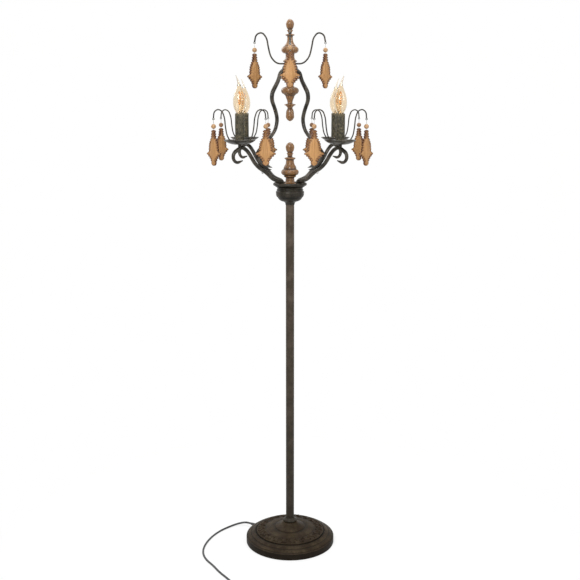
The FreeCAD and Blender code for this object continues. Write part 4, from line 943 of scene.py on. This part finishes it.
def makeCandles(bulb, pan, sleeve):
    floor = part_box("candle_sleeves")[0][2] / mm - sleeve["foot"][0][1]
    spots = [candlePlace(bulb, c, floor) for c in corners.values()]
    panMesh = latheMesh("drip pan", turnedOutline(pan["outline"]), pan["sides"], closed=True)
    pans = joined("turned_pans", [(panMesh, spot) for spot in spots], frameBronze, "lamp")
    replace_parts(pans, "drip_pans")
    tube = sleeveMesh(sleeve)
    turned = [(tube, spot @ aboutAxis(sleeve["turn"] * k)) for k, spot in enumerate(spots)]
    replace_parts(joined("dipped_sleeves", turned, sleeveBronze, "lamp"), "candle_sleeves")
    return floor


candleFloor = makeCandles(bulbSetting, panSetting, sleeveSetting)
print("pans and sleeves made")


# looped wires

wireSetting = {
    "sides": 12,
    "pan": {
        "radius": 1.8,
        "route": [
            (6, 1.8), (17, 1.8), (26.5, 9), (35, 23), (39, 46), (41, 72), (48, 90), (60, 95),
            (70, 87), (71.5, 68),
        ],
        "clamp": [(3.5, 0), (8.0, 0), (8.0, 1.6), (3.5, 1.6)],
        "clampSides": 32,
    },
    "crown": {
        "radius": 2.3,
        "route": [
            (12, 0), (38, 0), (55, 18), (62, 46), (66, 72), (80, 88), (97, 81), (101, 58),
        ],
        "height": 4.0,  # above the crown cap
        "collar": [
            (3.1, 0), (16, 0), (17.4, 2, 0.5), (15.8, 4.6, -0.5), (16, 9.5, 0.8), (3.1, 9.5),
        ],
        "collarSides": 40,
    },
    "eye": {"radius": 2.4, "thickness": 0.85, "points": 16, "sides": 8},
}


def ringTree(name, inputs):
    # the start of a tree that sets copies round the Z axis, with each copy's own angle
    shape = [("Geometry", "Geometry")]
    tree = newTree(name, "GeometryNodeTree", shape + [("Count", "Int")] + inputs, shape)
    given = addNode(tree, "NodeGroupInput", (-900, 0)).outputs
    spots = addNode(tree, "GeometryNodeMeshLine", (-700, 200), {
        "Offset": (0, 0, 0), "Count": given["Count"]}, mode="OFFSET").outputs["Mesh"]
    index = addNode(tree, "GeometryNodeInputIndex", (-900, -250)).outputs["Index"]
    share = addMath(tree, "DIVIDE", (-700, -100), index, given["Count"])
    angle = addMath(tree, "MULTIPLY", (-520, -100), share, 2 * math.pi)
    return tree, given, spots, index, angle


def addTurn(tree, place, values):
    # a rotation by angles about X, Y and Z
    angles = addNode(tree, "ShaderNodeCombineXYZ", place, values).outputs["Vector"]
    after = (place[0] + 180, place[1])
    return addNode(tree, "FunctionNodeEulerToRotation", after, {0: angles}).outputs[0]


def finishTree(tree, spots, shape, turn, material, smooth=False):
    # copies of the shape on the spots, made real and painted
    copies = addNode(tree, "GeometryNodeInstanceOnPoints", (600, 100), {
        "Points": spots, "Instance": shape, "Rotation": turn}).outputs["Instances"]
    real = addNode(tree, "GeometryNodeRealizeInstances", (780, 100), {"Geometry": copies})
    if smooth:
        real = addNode(tree, "GeometryNodeSetShadeSmooth", (960, 100), {
            "Geometry": real.outputs["Geometry"]})
    paint = addNode(tree, "GeometryNodeSetMaterial", (1140, 100), {
        "Geometry": real.outputs["Geometry"], "Material": material})
    addNode(tree, "NodeGroupOutput", (1320, 100), {"Geometry": paint.outputs["Geometry"]})
    return tree


def wireTree():
    # a wire along the route, repeated round the Z axis
    tree, given, spots, index, angle = ringTree(
        "wires round a post", [("Sides", "Int"), ("Radius", "Float")])
    section = addNode(tree, "GeometryNodeCurvePrimitiveCircle", (-600, 500), {
        "Resolution": given["Sides"], "Radius": given["Radius"]})
    wire = addNode(tree, "GeometryNodeCurveToMesh", (-350, 400), {
        "Curve": given["Geometry"], "Profile Curve": section.outputs["Curve"],
        "Fill Caps": True})
    turn = addTurn(tree, (-40, -100), {"Z": angle})
    return finishTree(tree, spots, wire.outputs["Mesh"], turn, frameBronze, smooth=True)


def treeMesh(data, tree, values):
    # the plain mesh that a tree makes from a mesh or curve
    holder = newObject("holder", data)
    modifier = holder.modifiers.new("tree", "NODES")
    modifier.node_group = tree
    for item in tree.interface.items_tree:
        if item.in_out == "INPUT" and item.name in values:
            modifier[item.identifier] = values[item.name]
    bpy.context.view_layer.update()
    depsgraph = bpy.context.evaluated_depsgraph_get()
    mesh = bpy.data.meshes.new_from_object(holder.evaluated_get(depsgraph))
    bpy.data.objects.remove(holder)
    return mesh


def eyeMesh(eye, place):
    # a small ring standing across Y
    points = [(place + Vector((x, 0, z)) * eye["radius"]) * mm for x, z in around(eye["points"])]
    radii = [eye["thickness"] * mm] * len(points)
    mesh = tubeMesh("eye", points, radii, eye["sides"], closed=True)
    shadeByAngle(mesh, 70)
    return mesh


def loopedWires(wire, setting, tree, count):
    # the wires with their eyes, as (mesh, placing matrix)
    route = inPlane(wire["route"])
    end = route[-1] + up * setting["eye"]["radius"]
    path = [p * mm for p in softPath(route[:-1] + [end])]
    values = {"Count": count, "Sides": setting["sides"], "Radius": wire["radius"] * mm}
    wires = treeMesh(newCurve("route", "POLY", path), tree, values)
    eye = eyeMesh(setting["eye"], route[-1])
    return [(wires, Matrix())] + [(eye, aboutAxis(360 * k / count)) for k in range(count)]


def makeWires(bulb, setting):
    tree = wireTree()
    pan, crown = setting["pan"], setting["crown"]
    pair = loopedWires(pan, setting, tree, 2)
    pair.append((latheMesh("clamp ring", pan["clamp"], pan["clampSides"], closed=True), Matrix()))
    spots = [candlePlace(bulb, c, candleFloor) for c in corners.values()]
    panWires = [(mesh, spot @ turn) for spot in spots for mesh, turn in pair]
    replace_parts(joined("looped_pan_wires", panWires, frameBronze, "lamp"), "pan_wires")
    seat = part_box("upper_finial")[0][2] - crown["collar"][-1][1] * mm
    collar = latheMesh("collar", turnedOutline(crown["collar"]), crown["collarSides"], closed=True)
    low, high = (Matrix.Translation((0, 0, seat + rise)) for rise in (0.0, crown["height"] * mm))
    four = [(mesh, high @ turn) for mesh, turn in loopedWires(crown, setting, tree, 4)]
    four.append((collar, low))
    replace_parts(joined("looped_crown_wires", four, frameBronze, "lamp"), "wire_crown")


makeWires(bulbSetting, wireSetting)
print("wires looped")


# pendants: a hanger, a bead and a carved plate on each body

pendantSetting = {
    "beadDrop": 20.0,
    "beadRadius": 6.75,
    "beadSides": (20, 12),
    "plateDrop": 29.5,
    "outline": [  # half width, drop below the plate's top, 1 in a carved nick
        (3.6, 0, 0), (7.2, 2.4, 0), (8.2, 5, 0), (5, 7.6, 1), (8.8, 10.2, 0), (9.2, 12, 0),
        (5.6, 14.4, 1), (9.6, 17, 0), (10.2, 18.8, 0), (6.6, 21.2, 1), (11.4, 23.6, 0),
        (13.6, 26.2, 0), (11.4, 28.8, 1), (16.2, 31.2, 0), (15.2, 34.6, 1), (18.6, 37.8, 0),
        (17, 41.4, 1), (19.6, 44.8, 0), (17.6, 48.4, 1), (20.2, 52.2, 0), (18.4, 56.4, 1),
        (21, 60.4, 0), (25.6, 62.4, 0), (28, 64.4, 0), (27, 67.2, 0), (21.8, 68.8, 1),
        (22.4, 72.2, 0), (16.2, 73.8, 1), (16.8, 77.8, 0), (11.4, 79.6, 1), (12.2, 83.6, 0),
        (8.4, 86.2, 1), (9.8, 89.8, 0), (7.8, 94.4, 0), (4, 97.2, 0),
    ],
    "tip": 97.9,
    "halfWidth": 28.5,
    "halfThickness": 4.0,
    "edgeThickness": 1.75,
    "ridgePower": 1.7,
    "rings": [  # inset, sink, painted shade, painted shade in a nick
        (1.1, 0.5, 0.6, 1), (3, 0, 0.10, 1), (4.8, 0.9, 0.30, 0.9), (6.4, 0.1, 0, 0.3),
        (8.4, 0, 0, 0),
    ],
    "plainFrom": 2.0,  # a ring with a larger inset runs past the nicks
    "endPull": 1.6,  # how much the rings draw in at the plate's ends
    "tipPull": 0.8,
    "narrowest": 0.05,
    "nickDepth": 1.1,
    "darkNeck": (26.0, 8.0, 0.5),  # drop where the neck's darkening ends, its fade, its strength
}
hangerSetting = {  # y and z of the link's corners, and the pin's top and bottom
    "link": [(-2.4, -1.1), (-1.5, 0.4), (1.5, 0.4), (2.4, -1.1), (2.4, -8.6), (0.6, -11.0),
             (-0.6, -11.0), (-2.4, -8.6)],
    "wire": 0.55,
    "pin": (-10.6, -33.0),
    "pinRadius": 0.6,
    "sides": 6,
}
eyeHeights = {"pan": 1295.5, "crown": 1508.5}
crownReach = 101.0
panWireReach = 71.5


def plateThickness(setting, x):
    # a ridge down the middle that falls away more gently towards the edge
    rise = setting["halfThickness"] - setting["edgeThickness"]
    share = 1 - min(abs(x) / setting["halfWidth"], 1.0)
    return setting["edgeThickness"] + rise * share ** setting["ridgePower"]


def insetLoop(setting, inset):
    # the outline drawn in towards the plate's middle
    outline, tip = setting["outline"], setting["tip"]
    half = []
    for i, (x, z, nick) in enumerate(outline):
        near = [outline[k][0] for k in range(max(i - 1, 0), min(i + 2, len(outline)))]
        wide = sum(near) / len(near) if inset > setting["plainFrom"] else x
        pull = inset * (0.5 - z / tip) * setting["endPull"]
        half.append(Vector((max(wide - inset, setting["narrowest"]), -(z + pull))))
    low = min(-(tip - inset * setting["tipPull"]), half[-1].y)
    return half + [Vector((0.0, low))] + [Vector((-p.x, p.y)) for p in reversed(half)]


def plateMesh(setting):
    # both carved faces, ring by ring, with the ridge down the middle and the edge between them
    nicks = [nick for x, z, nick in setting["outline"]]
    nicks = nicks + [0] + nicks[::-1]
    loop = insetLoop(setting, 0.0)
    rings = [(loop, 0.0, setting["edgeThickness"], [1.0] * len(loop))]
    for inset, sink, paintedLight, nickShade in setting["rings"]:
        paintedLights = [nickShade if nick else paintedLight for nick in nicks]
        rings.append((insetLoop(setting, inset), sink, None, paintedLights))
    neck, fade, neckDarkening = setting["darkNeck"]
    verts, faces, rim = [], [], []
    count = len(loop)
    for side in (-1, 1):
        first = len(verts)
        faces += ringFaces(len(rings), count, first=first, capped=False)
        for ring, sink, thickness, paintedLights in rings:
            for point, paintedLight, nick in zip(ring, paintedLights, nicks):
                gouge = nick * setting["nickDepth"] * paintedLight
                depth = thickness or plateThickness(setting, point.x) - sink - gouge
                verts.append((point.x, side * depth, point.y))
                # painted shade on the edge, in the carving and the nicks; the neck is darker
                # towards the top
                rim.append(min(paintedLight + neckDarkening * clamped((neck + point.y) / fade), 1.0))
        last = first + (len(rings) - 1) * count
        for k in range((count - 1) // 2):  # the field, across the ridge
            a, b = last + k, last + k + 1
            c, d = last + count - 2 - k, last + count - 1 - k
            if c != b:
                ridgeA, ridgeB = len(verts), len(verts) + 1
                for near in (a, b):
                    verts.append((0.0, side * setting["halfThickness"], verts[near][2]))
                    rim.append(0.0)
                faces.append((a, b, ridgeB, ridgeA))
                faces.append((ridgeA, ridgeB, c, d))
    other = len(verts) // 2
    for k in range(count):
        a, b = k, (k + 1) % count
        faces.append((a, b, other + b, other + a))
    mesh = meshFrom("pendant plate", [Vector(v) * mm for v in verts], faces)
    addRim(mesh, rim)
    weld(mesh, 2e-5)
    shadeByAngle(mesh, 42)
    return mesh


def hangerMeshes(setting):
    # a thin wire link, and the pin below it
    link = [Vector((0, y, z)) * mm for y, z in setting["link"]]
    pin = [up * z * mm for z in setting["pin"]]
    wire, sides = setting["wire"] * mm, setting["sides"]
    return [tubeMesh("link", link, [wire] * len(link), sides, closed=True),
            tubeMesh("pin", pin, [setting["pinRadius"] * mm] * len(pin), sides)]


def beadMesh(setting):
    mesh = bpy.data.meshes.new("bead")
    bm = bmesh.new()
    segments, rings = setting["beadSides"]
    bmesh.ops.create_uvsphere(bm, u_segments=segments, v_segments=rings,
                              radius=setting["beadRadius"] * mm)
    bm.to_mesh(mesh)
    bm.free()
    mesh.transform(Matrix.Translation((0, 0, -setting["beadDrop"] * mm)))
    for face in mesh.polygons:
        face.use_smooth = True
    return mesh


def makePendant(name, place, linkTurn, plateTurn, parts, beadFinish):
    body = "pendant_" + name
    spot = Matrix.Translation(Vector(place) * mm)
    linkSpot = spot @ aboutAxis(linkTurn)
    drop = Matrix.Translation((0, 0, -pendantSetting["plateDrop"] * mm))
    plateSpot = spot @ aboutAxis(plateTurn) @ drop
    plate = joined("plate_" + name, [(parts["plate"], plateSpot)], carvedWood, body)
    joined("bead_" + name, [(parts["bead"], spot)], beadFinish, body)
    joined("hanger_" + name, [(m, linkSpot) for m in parts["hanger"]], plainSteel, body)
    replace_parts(plate, body)


def makePendants(bulb):
    parts = {"plate": plateMesh(pendantSetting), "bead": beadMesh(pendantSetting),
             "hanger": hangerMeshes(hangerSetting)}
    for name, (sx, sy) in corners.items():
        y = sy * bulb["reach"]
        # the back pendants' beads darker: painted shade
        wood = shadedBead if sy > 0 else beadWood
        for kind, side, turn in (("outer_", sx, -45 * sx * sy), ("inner_", -sx, 8 * sx)):
            x = sx * bulb["reach"] + side * panWireReach
            makePendant(kind + name, (x, y, eyeHeights["pan"]), 0, turn, parts, wood)
    for name, angle in (("left", 180), ("right", 0), ("front", -90), ("back", 90)):
        x = crownReach * round(math.cos(math.radians(angle)))
        y = crownReach * round(math.sin(math.radians(angle)))
        makePendant("crown_" + name, (x, y, eyeHeights["crown"]), angle, 45 if x else 0, parts,
                    beadWood)


makePendants(bulbSetting)
print("pendants made")


# embossed leaves round the base

leafBand = {
    "count": 44,
    "radius": 0.0890,
    "height": 0.0388,
    "length": 0.0215,
    "width": 0.0058,
    "curl": 0.0042,
    "waves": 2.6,  # half waves of the curl in a stroke's length
    "rise": 0.0026,
    "evenness": 0.6,  # 1 where the rise is the same all along
    "slope": 9.0,
    "twist": 20.0,
    "swell": [  # share of the length, share of the width
        (-0.5, 0.35), (-0.38, 0.9), (-0.22, 0.7), (0, 0.55), (0.2, 0.8), (0.38, 1), (0.5, 0.3),
    ],
    "section": [  # share of the half width, share of the rise, painted shade
        (-1, -0.3, 1), (-0.5, 0.7, 0.3), (0, 1, 0), (0.5, 0.7, 0.3), (1, -0.3, 1),
    ],
}


def leafMesh(setting):
    # a low curled stroke with a raised vein, pointing along X; its edges carry painted shade
    even, section = setting["evenness"], setting["section"]
    verts, faces, rim = [], [], []
    for share, swell in setting["swell"]:
        middle = setting["curl"] * math.sin(setting["waves"] * math.pi * share)
        rise = setting["rise"] * (even + (1 - even) * swell)
        for across, level, paintedLight in section:
            half = setting["width"] / 2 * swell
            verts.append((share * setting["length"], middle + across * half, level * rise))
            rim.append(paintedLight)
    count = len(section)
    for i in range(len(setting["swell"]) - 1):
        for a in range(i * count, i * count + count - 1):
            faces.append((a, a + count, a + count + 1, a + 1))
    mesh = meshFrom("leaf", verts, faces)
    addRim(mesh, rim)
    shadeByAngle(mesh, 60)
    return mesh


def leafTree(leaf):
    # leaves on a ring, turned one way and the other in turn
    sizes = [(label, "Float") for label in ("Radius", "Height", "Slope", "Twist")]
    tree, given, spots, index, angle = ringTree("leaves on a ring", sizes)
    x, y = (addMath(tree, "MULTIPLY", (-160, level),
                    addMath(tree, wave, (-340, level), angle), given["Radius"])
            for wave, level in (("COSINE", 0), ("SINE", -180)))
    spot = addNode(tree, "ShaderNodeCombineXYZ", (20, -60), {
        "X": x, "Y": y, "Z": given["Height"]}).outputs["Vector"]
    placed = addNode(tree, "GeometryNodeSetPosition", (200, 200), {
        "Geometry": spots, "Position": spot}).outputs["Geometry"]
    odd = addMath(tree, "MODULO", (-520, -380), index, 2.0)
    sign = addMath(tree, "MULTIPLY_ADD", (-340, -380), odd, 2.0, -1.0)
    twist = addMath(tree, "MULTIPLY", (-160, -380), sign, given["Twist"])
    inner = addTurn(tree, (20, -300), {"Y": given["Slope"], "Z": twist})
    outer = addTurn(tree, (20, -460), {"Z": angle})
    turn = addNode(tree, "FunctionNodeRotateRotation", (400, -360), {
        0: outer, 1: inner}, rotation_space="LOCAL").outputs[0]
    stroke = addNode(tree, "GeometryNodeObjectInfo", (200, -60), {"Object": leaf})
    return finishTree(tree, placed, stroke.outputs["Geometry"], turn, baseBronze)


def makeLeafBand(setting):
    leaf = newObject("leaf", leafMesh(setting))
    values = {"Count": setting["count"], "Radius": setting["radius"], "Height": setting["height"],
              "Slope": math.radians(setting["slope"]), "Twist": math.radians(setting["twist"])}
    mesh = treeMesh(bpy.data.meshes.new("holder"), leafTree(leaf), values)
    bpy.data.objects.remove(leaf)
    linkObject("embossed_leaves", mesh, baseBronze)


makeLeafBand(leafBand)
print("leaves embossed")


# room: a pale floor, soft lights

roomSetting = {
    "floorSize": 14.0,
    "floorColour": (0.93, 0.93, 0.93),
    "worldStrength": 0.36,
    "shadowShare": 0.3,  # of the floor's look that is lit, near the lamp
    "shadowReach": (0.35, 0.9),  # metres over which the floor turns plain white
    "lights": [  # name, place, aims at, size, watts
        ("key light", (-0.9, -2.9, 2.7), (0, 0, 1.0), 1.3, 88),
        ("fill light", (2.3, -1.6, 2.3), (0, 0, 1.0), 1.4, 30),
        ("back light", (-1.9, 1.6, 2.6), (0, 0, 1.0), 1.6, 26),
        ("top light", (0.2, 0.3, 3.4), (0, 0, 0.8), 1.6, 40),
    ],
}


def seenFactor(tree):
    # 1 for what the camera, a reflection or glass sees
    rays = addNode(tree, "ShaderNodeLightPath", (-700, 300)).outputs
    first = addMath(tree, "MAXIMUM", (-500, 300), rays["Is Camera Ray"], rays["Is Glossy Ray"])
    return addMath(tree, "MAXIMUM", (-300, 300), first, rays["Is Transmission Ray"])


def makeWorld(setting):
    world = bpy.data.worlds.new("white room")
    world.use_nodes = True
    bpy.context.scene.world = world
    tree = world.node_tree
    tree.nodes.clear()
    lit, seen = (addNode(tree, "ShaderNodeBackground", (-100, level), {
        "Color": (1, 1, 1, 1), "Strength": strength}).outputs[0]
        for level, strength in ((100, setting["worldStrength"]), (-100, 1.0)))
    choose = addNode(tree, "ShaderNodeMixShader", (100, 0), {0: seenFactor(tree), 1: lit, 2: seen})
    addNode(tree, "ShaderNodeOutputWorld", (300, 0), {"Surface": choose.outputs[0]})


def floorMaterial(setting):
    # matt where the lamp's shadow falls, and plain white further off
    material = bpy.data.materials.new("pale floor")
    material.use_nodes = True
    tree = material.node_tree
    tree.nodes.clear()
    matt = addNode(tree, "ShaderNodeBsdfDiffuse", (-100, 100), {
        "Color": (*setting["floorColour"], 1)}).outputs[0]
    glow = addNode(tree, "ShaderNodeEmission", (-100, -100), {"Color": (1, 1, 1, 1)}).outputs[0]
    coords = addNode(tree, "ShaderNodeTexCoord", (-900, 550)).outputs["Object"]
    away = addNode(tree, "ShaderNodeVectorMath", (-700, 550), {0: coords}, operation="LENGTH")
    near, far = setting["shadowReach"]
    plain = addNode(tree, "ShaderNodeMapRange", (-500, 550), {
        "Value": away.outputs["Value"], "From Min": near, "From Max": far,
        "To Min": 1 - setting["shadowShare"]}).outputs["Result"]
    share = addMath(tree, "MULTIPLY", (-100, 300), seenFactor(tree), plain)
    choose = addNode(tree, "ShaderNodeMixShader", (150, 0), {0: share, 1: matt, 2: glow})
    addNode(tree, "ShaderNodeOutputMaterial", (400, 0), {"Surface": choose.outputs[0]})
    return material


def makeFloor(setting):
    size = setting["floorSize"] / 2
    spots = [(-size, -size, 0), (size, -size, 0), (size, size, 0), (-size, size, 0)]
    floor = newObject("floor", meshFrom("floor", spots, [(0, 1, 2, 3)]))
    floor.data.materials.append(floorMaterial(setting))


def makeLights(setting):
    for name, place, aim, size, watts in setting["lights"]:
        data = bpy.data.lights.new(name, "AREA")
        data.energy = watts
        data.shape = "SQUARE"
        data.size = size
        light = newObject(name, data)
        light.location = place
        direction = Vector(aim) - Vector(place)
        light.rotation_euler = direction.to_track_quat("-Z", "Y").to_euler()


makeWorld(roomSetting)
makeFloor(roomSetting)
makeLights(roomSetting)
bpy.context.scene.view_settings.view_transform = "Standard"
print("room lit")
